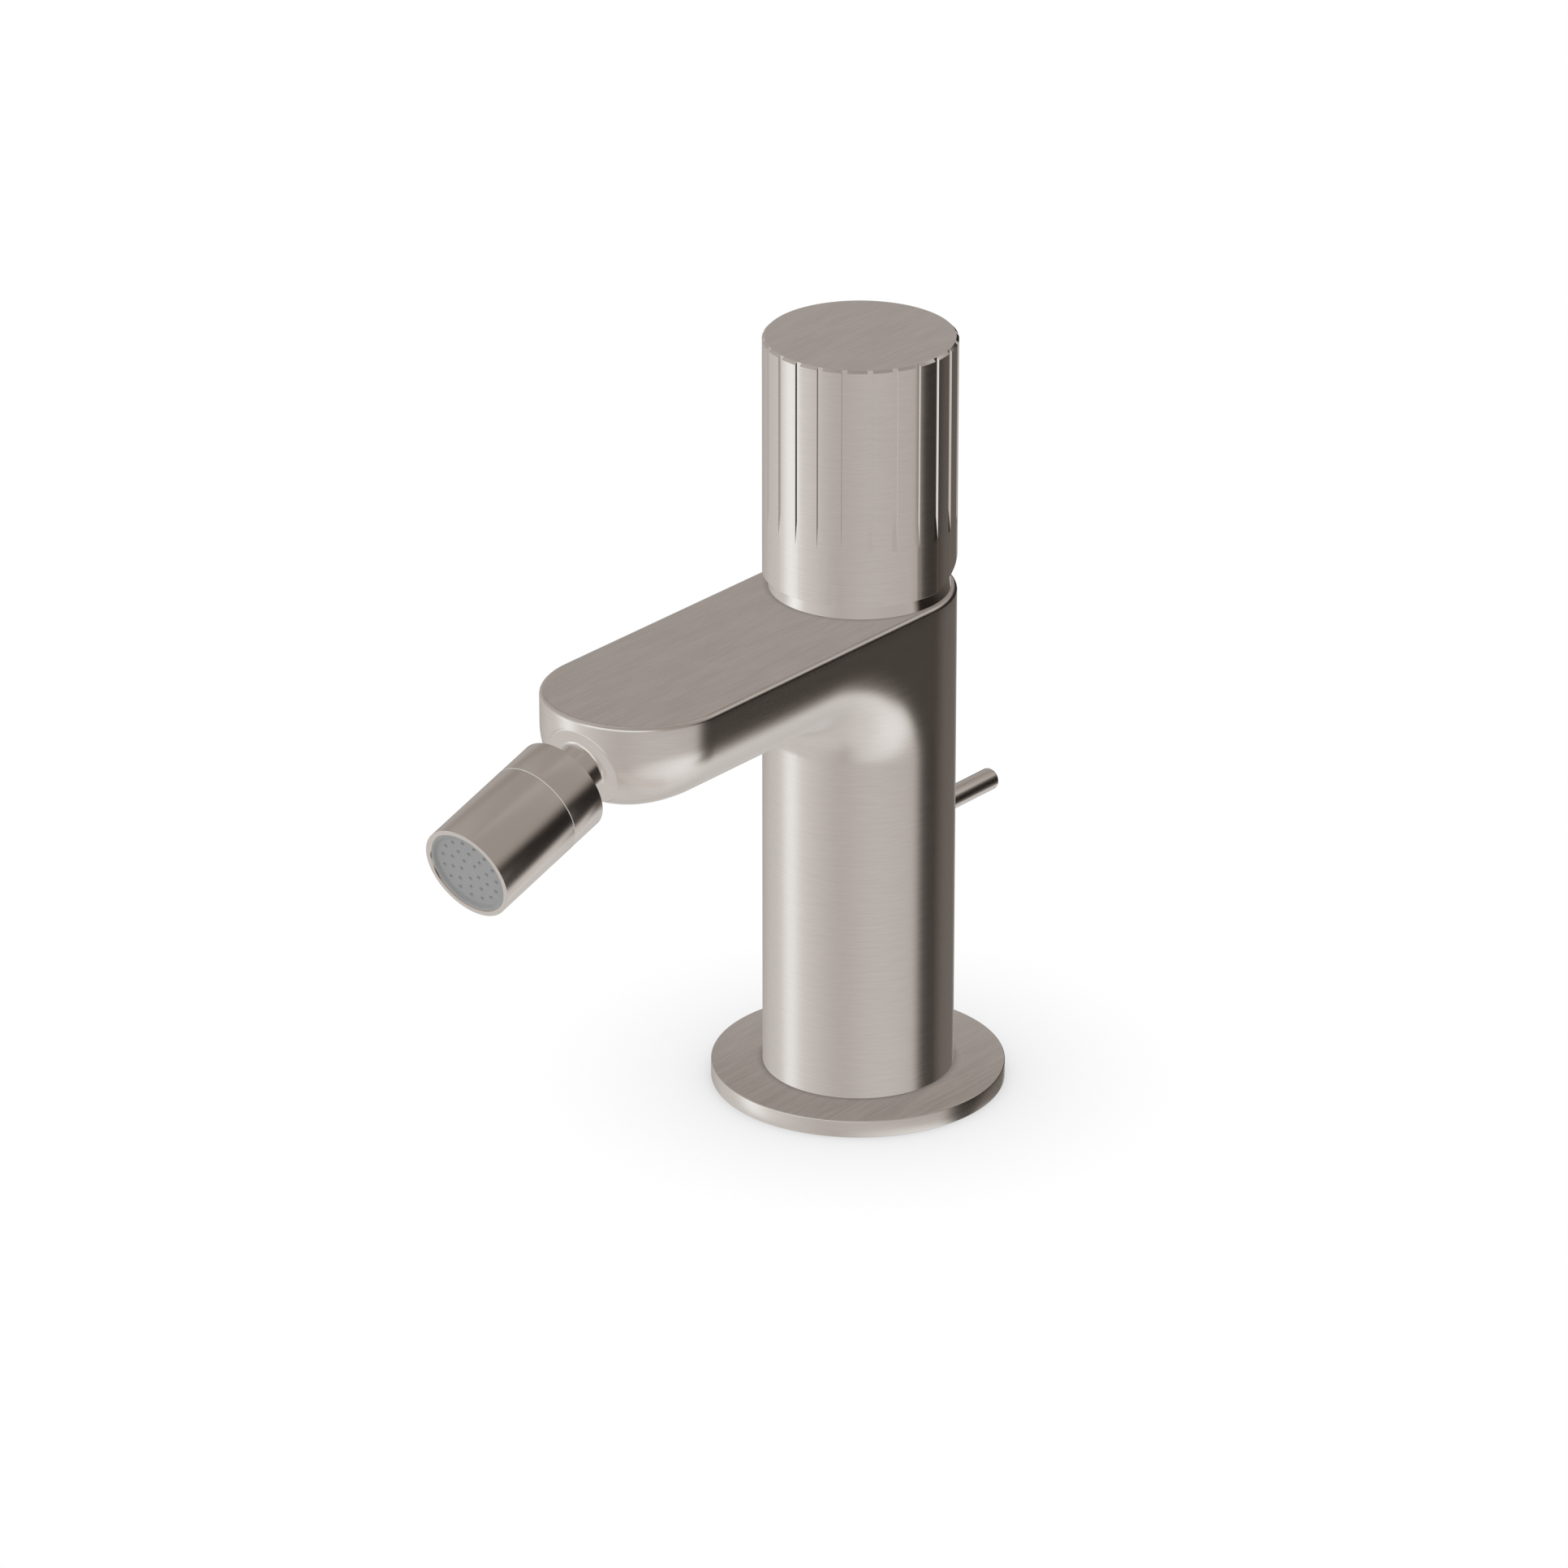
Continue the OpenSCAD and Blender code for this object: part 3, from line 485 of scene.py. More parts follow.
def dress(thing, body, slot, *nodes):
    """Gives a finished piece its material, its body and the construction nodes that it stands for."""
    thing.data.materials.clear()
    thing.data.materials.append(FINISHES[slot])
    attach(thing, body)
    clear_of_mirrors(thing)
    if nodes:
        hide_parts(*nodes)


def clear_of_mirrors(thing):
    """Keeps the studio alone in the metal, as in the photograph, without the part's own reflections."""
    thing.visible_glossy = False


# Geometry node trees

def new_tree(name, sizes):
    """A geometry tree with named inputs for its sizes."""
    tree = bpy.data.node_groups.new(name, "GeometryNodeTree")
    face = tree.interface
    face.new_socket(name="Geometry", in_out="INPUT", socket_type="NodeSocketGeometry")
    for size, kind in sizes.items():
        face.new_socket(name=size, in_out="INPUT", socket_type=kind)
    face.new_socket(name="Material", in_out="INPUT", socket_type="NodeSocketMaterial")
    face.new_socket(name="Geometry", in_out="OUTPUT", socket_type="NodeSocketGeometry")
    return tree


def run_tree(thing, tree, values):
    """Runs a geometry tree on a piece and keeps the result as its plain mesh."""
    modifier = thing.modifiers.new(tree.name, "NODES")
    modifier.node_group = tree
    for item in tree.interface.items_tree:
        if item.in_out == "INPUT" and item.name in values:
            modifier[item.identifier] = values[item.name]
    applied(thing)


def close_tree(nodes, given, geometry):
    """Ends a tree: real meshes, welded, in the piece's material."""
    real = nodes.add("GeometryNodeRealizeInstances", inputs={"Geometry": geometry})["Geometry"]
    inputs = {"Geometry": real, "Distance": 0.0005 * MM}
    welded = nodes.add("GeometryNodeMergeByDistance", inputs=inputs)["Geometry"]
    inputs = {"Geometry": welded, "Material": given["Material"]}
    painted = nodes.add("GeometryNodeSetMaterial", inputs=inputs)["Geometry"]
    nodes.add("NodeGroupOutput", inputs={"Geometry": painted})


def ring_tree():
    """Turned copies of a sector, once round the Z axis."""
    tree = new_tree("sectors round an axis", {"Sectors": "NodeSocketInt"})
    nodes = Nodes(tree)
    given = nodes.add("NodeGroupInput")
    count = given["Sectors"]
    spots = nodes.add("GeometryNodePoints", inputs={"Count": count, "Position": (0, 0, 0)})["Points"]
    turn = nodes.add("GeometryNodeInputIndex")["Index"] * math.tau / count
    around = nodes.add("ShaderNodeCombineXYZ", inputs={"Z": turn})["Vector"]
    inputs = {"Points": spots, "Instance": given["Geometry"], "Rotation": around}
    copies = nodes.add("GeometryNodeInstanceOnPoints", inputs=inputs)["Instances"]
    close_tree(nodes, given, copies)
    return tree


def spray_tree(rings):
    """Rings of tapered pits cut into a plate that lies square to Z."""
    sizes = {"First ring": "NodeSocketInt"}
    sizes.update(dict.fromkeys(("Ring step", "Turn", "Mouth", "Throat", "Depth", "Face"), "NodeSocketFloat"))
    tree = new_tree("rings of spray holes", sizes)
    nodes = Nodes(tree)
    given = nodes.add("NodeGroupInput")
    inputs = {"Vertices": 20, "Radius Top": given["Mouth"], "Radius Bottom": given["Throat"],
              "Depth": given["Depth"] * 2}
    cone = nodes.add("GeometryNodeMeshCone", inputs=inputs)["Mesh"]
    sink = nodes.add("ShaderNodeCombineXYZ", inputs={"Z": given["Depth"] * -1})["Vector"]
    cone = nodes.add("GeometryNodeTransform", inputs={"Geometry": cone, "Translation": sink})["Geometry"]
    circles = []
    for ring in range(1, rings + 1):
        inputs = {"Vertices": given["First ring"] * ring, "Radius": given["Ring step"] * ring}
        circles.append(nodes.add("GeometryNodeMeshCircle", inputs=inputs)["Mesh"])
    joined = nodes.add("GeometryNodeJoinGeometry")
    for circle in circles:
        nodes.tree.links.new(circle.socket, joined.node.inputs[0])
    turn = nodes.add("ShaderNodeCombineXYZ", inputs={"Z": given["Turn"]})["Vector"]
    rise = nodes.add("ShaderNodeCombineXYZ", inputs={"Z": given["Face"]})["Vector"]
    inputs = {"Geometry": joined["Geometry"], "Translation": rise, "Rotation": turn}
    spots = nodes.add("GeometryNodeTransform", inputs=inputs)["Geometry"]
    inputs = {"Points": spots, "Instance": cone}
    cones = nodes.add("GeometryNodeInstanceOnPoints", inputs=inputs)["Instances"]
    cones = nodes.add("GeometryNodeRealizeInstances", inputs={"Geometry": cones})["Geometry"]
    settings = {"operation": "DIFFERENCE", "solver": "EXACT"}
    inputs = {"Mesh 1": given["Geometry"], "Mesh 2": cones}
    bored = nodes.add("GeometryNodeMeshBoolean", settings, inputs)["Mesh"]
    close_tree(nodes, given, bored)
    return tree


# Column and spout in one skin

edge_steps = 5
wall_steps = 4
round_steps = 20
belly_steps = 3
tip_steps = 72
arm_steps = 16
bend_steps = 18
back_steps = 72
level_steps = 24


def top_rim(point, outward):
    """Points of the fine rounding from the flat top down to a wall point at its lower end."""
    base = Vector(point)
    way = Vector(outward)
    return [base + way * top_edge * (math.cos(a) - 1) + Vector((0, 0, top_edge * math.sin(a)))
            for a in spread(math.pi / 2, 0, edge_steps)]


def tip_line(angle):
    """One line over the spout's round tip, from its top edge to the middle of its underside."""
    out = Vector((math.cos(angle), -math.sin(angle), 0))
    lower = side_round + (tip_round - side_round) * math.sin(angle) ** 2

    def at(reach, z):
        return Vector((0, tip_y, z)) + out * reach

    line = top_rim(at(column_r, spout_top - top_edge), out)
    line += [at(column_r, z) for z in spread(spout_top - top_edge, spout_low + lower, wall_steps)[1:]]
    line += [at(column_r - lower * (1 - math.cos(t)), spout_low + lower * (1 - math.sin(t)))
             for t in spread(0, math.pi / 2, round_steps)[1:]]
    line += [at(reach, spout_low) for reach in spread(column_r - lower, 0, belly_steps)[1:]]
    return line


def arm_line(side, y):
    """The same line over the level part of the spout."""
    def at(x, z):
        return Vector((side * x, y, z))

    line = top_rim(at(column_r, spout_top - top_edge), (side, 0, 0))
    line += [at(column_r, z) for z in spread(spout_top - top_edge, side_low, wall_steps)[1:]]
    line += [at(column_r - side_round * (1 - math.cos(t)), side_low - side_round * math.sin(t))
             for t in spread(0, math.pi / 2, round_steps)[1:]]
    line += [at(x, spout_low) for x in spread(column_r - side_round, 0, belly_steps)[1:]]
    return line


# Angle of the bend at which its lines meet the corner of the top edge and the column
corner_bend = math.atan2(-bend_y, spout_top - top_edge - bend_z)


def bend_line(side, bend):
    """A line round the bend under the spout, in a plane through the bend's axis."""
    lower = side_round + (column_r - side_round) * math.sin(bend) ** 2

    def at(x, reach):
        return Vector((side * x, bend_y + reach * math.sin(bend), bend_z + reach * math.cos(bend)))

    line = []
    if bend <= corner_bend + 1e-9:
        far = (spout_top - top_edge - bend_z) / math.cos(bend)
        line += top_rim(at(column_r, far), (side, 0, 0))
    else:
        far = -bend_y / math.sin(bend)
        line += [at(column_r, far)] * (edge_steps + 1)
    line += [at(column_r, reach) for reach in spread(far, bend_r + lower, wall_steps)[1:]]
    line += [at(column_r - lower * (1 - math.cos(t)), bend_r + lower * (1 - math.sin(t)))
             for t in spread(0, math.pi / 2, round_steps)[1:]]
    line += [at(x, bend_r) for x in spread(column_r - lower, 0, belly_steps)[1:]]
    return line


def column_ring(z, radius, angles):
    """Points round the column's axis."""
    return [Vector((radius * math.cos(a), radius * math.sin(a), z)) for a in angles]


def body_skin():
    """Column, bend, spout and tip as one closed skin that stands on the flange."""
    points = []
    faces = []
    upper_bends = spread(0, corner_bend, bend_steps)
    lower_bends = spread(corner_bend, math.pi / 2, bend_steps)
    arm = spread(tip_y, bend_y, arm_steps)
    sheet(points, faces, [tip_line(a) for a in spread(0, math.pi, tip_steps)])
    for side in (1, -1):
        sheet(points, faces, [arm_line(side, y) for y in arm])
        sheet(points, faces, [bend_line(side, b) for b in upper_bends])
        sheet(points, faces, [bend_line(side, b) for b in lower_bends])

    # Column: the back with its top edge, then the two quarters in front below the bend
    behind = spread(0, math.pi, back_steps)
    low_levels = spread(bend_z, flange_t, level_steps)
    levels = [-bend_y / math.tan(b) + bend_z for b in lower_bends] + low_levels[1:]
    rim = [(column_r - top_edge * (1 - math.cos(a)), spout_top - top_edge * (1 - math.sin(a)))
           for a in spread(math.pi / 2, 0, edge_steps)]
    back = [column_ring(z, r, behind) for r, z in rim]
    back += [column_ring(z, column_r, behind) for z in levels[1:]]
    sheet(points, faces, back)
    for start in (0, -math.pi):
        quarter = spread(start, -math.pi / 2, round_steps)
        sheet(points, faces, [column_ring(z, column_r, quarter) for z in low_levels])

    # Flat top, inside the rounded edge
    top = [tip_line(a)[0] for a in spread(0, math.pi, tip_steps)]
    left = [arm_line(-1, y)[0] for y in arm] + [bend_line(-1, b)[0] for b in upper_bends]
    right = [bend_line(1, b)[0] for b in reversed(upper_bends)]
    right += [arm_line(1, y)[0] for y in reversed(arm)]
    rear = column_ring(spout_top, column_r - top_edge, reversed(behind))
    cap(points, faces, top + left[1:] + rear[1:] + right[1:-1])

    # Step at the foot, where the spigot goes down through the flange
    angles = behind + [math.pi + a for a in spread(0, math.pi, 2 * round_steps)[1:-1]]
    outer = column_ring(flange_t, column_r, angles)
    inner = column_ring(flange_t, spigot_r, angles)
    foot = column_ring(0, spigot_r, angles)
    sheet(points, faces, [loop + loop[:1] for loop in (outer, inner, foot)])
    cap(points, faces, foot)
    return finished("body_skin", points, faces)


def drill(name, radius, low, high, x, y):
    """An upright round cutter."""
    place = Matrix.Translation((x, y, 0))
    return turned(name, [(0, low), (radius, low), (radius, high), (0, high)], place, 96)


def pull_slot():
    """Upright slot behind the column for the pull pin."""
    half = pull_r + 0.3
    steps = 24
    outline = []
    for middle, start in ((pull_z, math.pi), (pull_z + pull_travel, 0)):
        outline += [(half * math.cos(a), middle + half * math.sin(a))
                    for a in spread(start, start + math.pi, steps)]
    count = len(outline)
    points = [(x, y, z) for y in (lift_y, column_r + past) for x, z in outline]
    faces = [(k, (k + 1) % count, (k + 1) % count + count, k + count) for k in range(count)]
    faces += [tuple(range(count)), tuple(range(count, 2 * count))]
    return finished("pull_slot", points, faces)


def make_body():
    """The casting, with its chamber, bores, slot and nozzle seat cut out."""
    chamber_r = 17.8
    chamber_floor = spout_top - 22
    shoulder_r = 19.5
    shoulder_z = spout_top - 5
    inlet_r = 4.5
    inlet_depth = 12
    inlet_x = 8
    inlet_y = 1
    stud_r = 4
    stud_depth = 15
    stud_y = -12
    lift_r = 4.5
    lift_top = pull_z + pull_travel + 9
    bore_r = neck_r + fit_gap
    rim_r = seat_r + 0.02
    seat_reach = 8
    chamber = [(0, chamber_floor), (chamber_r, chamber_floor), (chamber_r, shoulder_z),
               (shoulder_r, shoulder_z), (shoulder_r, spout_top + past), (0, spout_top + past)]
    seat = [(0, -neck_sink), (bore_r, -neck_sink), (bore_r, -seat_rise), (rim_r, -seat_rise),
            (rim_r, seat_reach), (0, seat_reach)]
    cutters = [
        turned("chamber", chamber),
        drill("hot_inlet", inlet_r, -past, inlet_depth, -inlet_x, inlet_y),
        drill("cold_inlet", inlet_r, -past, inlet_depth, inlet_x, inlet_y),
        drill("stud_hole", stud_r, -past, stud_depth, 0, stud_y),
        drill("lift_bore", lift_r, -past, lift_top, 0, lift_y),
        pull_slot(),
        turned("seat", seat, nozzle_place, 128),
    ]
    skin = evened(cut(body_skin(), cutters, 28))
    dress(skin, "body", "brushed_nickel", "body_casting")


def make_seat_face():
    """Flat face of the nozzle's seat, with its rounded rim."""
    bore_r = neck_r + fit_gap
    rounding = seat_rise - 0.02
    corners = [(bore_r, -seat_rise), (seat_r, -seat_rise), (seat_r, 0, rounding), (bore_r, 0)]
    dress(turned("seat_face", corners, nozzle_place, 192), "body", "brushed_nickel")


def make_flange():
    """Base flange, with the groove for its rubber ring."""
    hole_r = spigot_r + fit_gap
    groove_in = 27.9
    groove_out = 31.7
    groove_top = 1.5
    outer = flange_high.x
    corners = [(hole_r, 0), (groove_in, 0), (groove_in, groove_top), (groove_out, groove_top),
               (groove_out, 0), (outer, 0, 0.15), (outer, flange_t, 0.25), (hole_r, flange_t)]
    dress(turned("flange_plate", corners, turns=256), "body", "brushed_nickel", "base_flange")


def make_collar():
    """Bright dome between the spout and the knob. It narrows a little upwards."""
    dome_r = 21.1
    upper_r = dome_r - 0.35
    foot_r = 18.4
    hole_r = 12.2
    ceiling = spout_top + 6
    top = collar_high.z
    top_t = 2
    finish = math.asin((top - pivot_z) / dome_r)
    dome = [(upper_r * math.cos(a), pivot_z + dome_r * math.sin(a)) for a in spread(0, finish, 40)]
    inside = [(hole_r, top), (hole_r, top - top_t), (foot_r, ceiling)]
    corners = [(foot_r, spout_top), (dome_r, spout_top)] + dome + inside
    dress(turned("collar", corners), "body", "polished_collar", "dome_collar")


# Knob: one sector with its groove, repeated by a geometry tree

def knob_rows():
    """Radius and height of each row of the knob's outside, from its foot to its top."""
    foot = 0.03
    rows = [(column_r - foot, pivot_z), (column_r, pivot_z + foot)]
    rows += [(column_r, pivot_z + 6), (column_r, groove_end - 0.05)]
    rows += [(column_r, z) for z in spread(groove_end, groove_start, 12)]
    rows += [(column_r, z) for z in spread(groove_start, knob_top - knob_chamfer, 8)[1:]]
    rows += [(column_r - knob_chamfer, knob_top)]
    return rows


def groove_floor(z):
    """Distance of the groove's floor from the knob's axis at a height."""
    share = (z - groove_end) / (groove_start - groove_end)
    return column_r - groove_depth * min(1, max(0, share))


def land_point(radius, z, y):
    """A point between two grooves, at a distance across the sector on the full radius."""
    across = y * radius / column_r
    return (math.sqrt(radius ** 2 - across ** 2), across, z)


def edge_point(radius, z, y):
    """A point on the outside at a groove's edge."""
    return (math.sqrt(radius ** 2 - y ** 2), y, z)


def floor_point(radius, z, y):
    """A point on a groove's floor."""
    outside = math.sqrt(radius ** 2 - y ** 2)
    floor = min(outside, groove_floor(z))
    return (min(outside, math.sqrt(floor ** 2 - y ** 2)), y, z)


def knob_sector():
    """One sector of the knob, closed above and inside, with a groove in its middle."""
    half = groove_w / 2
    insert_r = 12
    insert_top = knob_top - 10.7
    edge = 0.03
    first_land = math.asin((half + edge) / column_r)
    last_land = math.pi / groove_count
    right = [(0, floor_point), (half / 2, floor_point), (half, floor_point), (half, edge_point)]
    right += [(column_r * math.sin(a), land_point) for a in spread(first_land, last_land, 7)]
    stations = [(-y, point) for y, point in reversed(right[1:])] + right
    turns = [math.asin(y / column_r) for y, _ in stations]
    rows = [[point(radius, z, y) for y, point in stations] for radius, z in knob_rows()]
    rows.append([(0, 0, knob_top)] * len(stations))
    inside = [(0, insert_top), (insert_r, insert_top), (insert_r, skirt_top), (skirt_r, skirt_top),
              (skirt_r, pivot_z)]
    rows += [[(r * math.cos(a), r * math.sin(a), z) for a in turns] for r, z in inside]
    rows.append(rows[0])
    points = []
    faces = []
    sheet(points, faces, rows)
    return finished("knob_skin", points, faces)


def make_knob():
    """The fluted knob, with the relief behind it and the grub screw's hole."""
    knob = knob_sector()
    run_tree(knob, ring_tree(), {"Sectors": groove_count, "Material": FINISHES["knob_nickel"]})
    reach = 2 * column_r
    slope = ((0, -past), (0, 0), (reach, reach * math.tan(relief_slope)), (reach, -past))
    wedge = [(x, y, pivot_z + z) for x in (-reach, reach) for y, z in slope]
    faces = [(0, 1, 2, 3), (4, 5, 6, 7), (0, 1, 5, 4), (1, 2, 6, 5), (2, 3, 7, 6), (3, 0, 4, 7)]
    relief = finished("relief", wedge, faces)
    start = 4
    corners = [(0, 0), (grub_r, 0), (grub_r, column_r), (0, column_r)]
    grub_hole = turned("grub_hole", corners, Matrix.Translation((0, start, grub_z)) @ to_back, 48)
    cut(knob, [relief, grub_hole], 25)
    dress(knob, "knob", "knob_nickel", "knob_shell")


# Nozzle

def make_stem():
    """Bored stem: a tail in the spout, a neck with a small cove at its foot, a waist and the ball."""
    tail_end = -15
    tail_r = 4.95
    tail_top = -2
    bore_r = 2.8
    waist_at = neck_len + 2
    cove_r = 1.0
    cove_foot = 0.01
    cove_low = 0.03
    first = math.pi - math.asin(waist_r / ball_r)
    last = math.asin(bore_r / ball_r)
    ball = [(ball_r * math.sin(a), ball_at + ball_r * math.cos(a)) for a in spread(first, last, 40)]
    cove = [(neck_r + cove_r * (1 - math.sin(a)), cove_r * (1 - math.cos(a)) + cove_low)
            for a in spread(0, math.pi / 2, 8)]
    corners = [(bore_r, tail_end), (tail_r, tail_end), (tail_r, tail_top), (neck_r, tail_top)]
    corners += [(neck_r, cove_foot), (neck_r + cove_r, cove_foot)] + cove
    corners += [(neck_r, neck_corner), (waist_r, waist_at)] + ball
    dress(turned("ball_stem", corners, nozzle_place, 128), "body", "satin_nozzle", "nozzle_stem")


def make_rear_sleeve():
    """Rear part of the nozzle: a round socket for the ball and a flared bore that clears the neck."""
    ball_socket_r = 9.3
    swing = math.radians(11)
    flare = math.acos(math.cos(swing) ** 2)
    throat_back = 4.5
    mouth_back = ball_at - neck_len
    corner_back = ball_at - neck_corner
    throat_at = ball_at - throat_back
    throat_r = waist_r / math.cos(flare) + throat_back * math.tan(flare) + 0.6
    mouth_r = neck_r / math.cos(flare) + mouth_back * math.tan(flare) + 0.3
    corner_at = ball_at - corner_back * math.cos(flare) + neck_r * math.sin(flare)
    corner_r = neck_r * math.cos(flare) + corner_back * math.sin(flare) + 0.3

    def bore(z):
        socket = math.sqrt(max(0, ball_socket_r ** 2 - (z - ball_at) ** 2))
        if z > throat_at:
            return socket
        if z > corner_at:
            share = (z - corner_at) / (throat_at - corner_at)
            return max(socket, corner_r + (throat_r - corner_r) * share)
        return corner_r + (mouth_r - corner_r) * (corner_at - z) / (corner_at - neck_len)

    inside = [(bore(z), z) for z in spread(ball_at, neck_len, 40)]
    joint_end = seam + joint_depth
    corners = inside[:-1] + [(mouth_r, neck_len, 0.1), (nozzle_r, neck_len, 0.06), (nozzle_r, seam, 0.06)]
    corners += [(joint_r, seam), (joint_r, joint_end), (socket_r, joint_end), (socket_r, ball_at)]
    skin = turned("rear_sleeve_skin", corners, nozzle_place, 192)
    dress(skin, "nozzle", "satin_nozzle", "rear_sleeve")


def make_front_sleeve():
    """Front part of the nozzle, with its bright lip round the spray plate."""
    joint_bore_r = joint_r + fit_gap
    joint_end = seam + joint_depth + fit_gap
    seat_front = ball_at + 6.05
    passage_r = 7.5
    mouth_floor = nozzle_end - mouth_depth
    corners = [(joint_bore_r, seam), (nozzle_r, seam, 0.06), (nozzle_r, nozzle_end, 0.08)]
    corners += [(lip_r, nozzle_end, 0.06), (lip_r, mouth_floor), (passage_r, mouth_floor)]
    corners += [(passage_r, seat_front), (socket_r, seat_front), (socket_r, joint_end)]
    corners += [(joint_bore_r, joint_end)]
    skin = turned("front_sleeve_skin", corners, nozzle_place, 192)
    dress(skin, "nozzle", "satin_nozzle", "front_sleeve")


def make_painted_seam_highlight():
    """Fine pale ring at the seat between the two sleeves, a painted highlight for the bright edge line
    there.
    """
    low = seam - 0.1
    high = seam + 0.1
    inner = 11.2
    outer = nozzle_r + 0.02
    corners = [(inner, low), (outer, low), (outer, high), (inner, high)]
    dress(turned("painted_seam_highlight", corners, nozzle_place, 192), "nozzle", "white_plastic")


def make_spray_plate():
    """Grey insert in the nozzle's mouth, with its spray holes."""
    face = nozzle_end - 1.2
    back = face - 1.8
    washer_t = 1.6
    screen_t = 1
    low = nozzle_end - mouth_depth + washer_t + screen_t
    recess_r = 8.65
    rim_r = lip_r - 0.12
    rim_in = 9.75
    rim_top = nozzle_end - 0.3
    face_r = 9.4
    corners = [(0, back), (recess_r, back), (recess_r, low), (rim_r, low), (rim_r, rim_top, 0.12),
               (rim_in, rim_top, 0.15), (face_r, face, 0.1), (0, face)]
    plate = turned("spray_face", corners)
    values = {"First ring": 5, "Ring step": 2.55 * MM, "Turn": math.radians(42)}
    values.update({"Mouth": 0.82 * MM, "Throat": 0.22 * MM, "Depth": 0.6 * MM})
    values.update({"Face": face * MM, "Material": FINISHES["grey_plastic"]})
    run_tree(plate, spray_tree(3), values)
    plate.data.transform(Matrix.Scale(MM, 4) @ nozzle_place @ Matrix.Scale(1 / MM, 4))
    dress(plate, "nozzle", "grey_plastic", "spray_plate")


# Waste pull and deck fixings

def make_pull_pin():
    """Pin that the waste is worked with, from the lift's block out of the slot."""
    start = lift_y - 3
    length = pin_high.y - start
    corners = [(0, 0), (pull_r, 0), (pull_r, length, 0.6), (0, length)]
    pin = turned("pull_pin_skin", corners, Matrix.Translation((0, start, pull_z)) @ to_back, 96)
    dress(pin, "lift", "brushed_nickel", "pull_pin")


def threaded(name, radius, pitch, low, high, place):
    """A bar with a screw thread along its whole length and flat ends."""
    around = 28
    per_turn = 8
    depth = 0.6 * pitch
    count = int((high - low) / pitch * per_turn)
    rows = []
    for z in spread(low, high, count):
        row = []
        for k in range(around):
            angle = math.tau * k / around
            phase = (z / pitch - k / around) % 1
            inward = 1 - abs(2 * phase - 1)
            # Flat at the thread's crest and at its root
            r = radius - depth * min(1, max(0, 1.25 * inward - 0.125))
            row.append((r * math.cos(angle), r * math.sin(angle), z))
        rows.append(row + row[:1])
    points = []
    faces = []
    sheet(points, faces, rows)
    cap(points, faces, rows[0][:-1])
    cap(points, faces, rows[-1][:-1])
    return finished(name, points, faces, place, 50)


def make_fixings():
    """Threaded stud and its nut with turned corners."""
    stud_r = stud_high.x
    stud_y = (stud_low.y + stud_high.y) / 2
    pitch = 1.25
    place = Matrix.Translation((0, stud_y, 0))
    stud = threaded("threaded_stud", stud_r, pitch, stud_low.z, stud_high.z, place)
    dress(stud, "body", "zinc_steel", "fixing_stud")

    low = nut_low.z
    high = nut_high.z
    across = (nut_high.x - nut_low.x) / 2
    nut = turned("hex_nut", [(0, low), (across, low), (across, high), (0, high)], place, 6, 20)
    # Section of a ring that takes the corners off at both ends
    flat_r = across - 1.1
    corner_r = across + 0.1
    chamfer = 0.9
    outer = across + 2
    corners = [(flat_r, low - past), (outer, low - past), (outer, high + past), (flat_r, high + past)]
    corners += [(flat_r, high), (corner_r, high - chamfer), (corner_r, low + chamfer), (flat_r, low)]
    ring = turned("nut_corners", corners, place, 96)
    bore = drill("nut_bore", stud_r + fit_gap, low - past, high + past, 0, stud_y)
    dress(cut(nut, [ring, bore], 20), "body", "plain_brass", "fixing_nut")


def make_lift_rod():
    """Rod down to the waste, thinner at its foot."""
    foot_r = 2.5
    shank_r = rod_high.x
    step_z = -18
    corners = [(0, rod_low.z), (foot_r, rod_low.z, 0.5), (foot_r, step_z), (shank_r, step_z, 0.3),
               (shank_r, rod_high.z), (0, rod_high.z)]
    rod = turned("lift_rod_skin", corners, Matrix.Translation((0, lift_y, 0)), 64)
    dress(rod, "lift", "zinc_steel", "lift_rod")


# Studio

def make_camera():
    """The photograph's viewpoint: long lens, from the right in front and above."""
    eye = Vector((1249.95, -1531.74, 962.91)) * MM
    right = Vector((0.76917, 0.63905, 0))
    up = Vector((-0.26192, 0.31525, 0.91217))
    camera = bpy.data.cameras.new("camera")
    camera.lens = 213.77
    camera.sensor_width = 36
    camera.sensor_fit = "HORIZONTAL"
    camera.clip_end = 50
    holder = bpy.data.objects.new("camera", camera)
    turn = Matrix((right, up, right.cross(up))).transposed().to_4x4()
    holder.matrix_world = Matrix.Translation(eye) @ turn
    scene.collection.objects.link(holder)
    scene.camera = holder


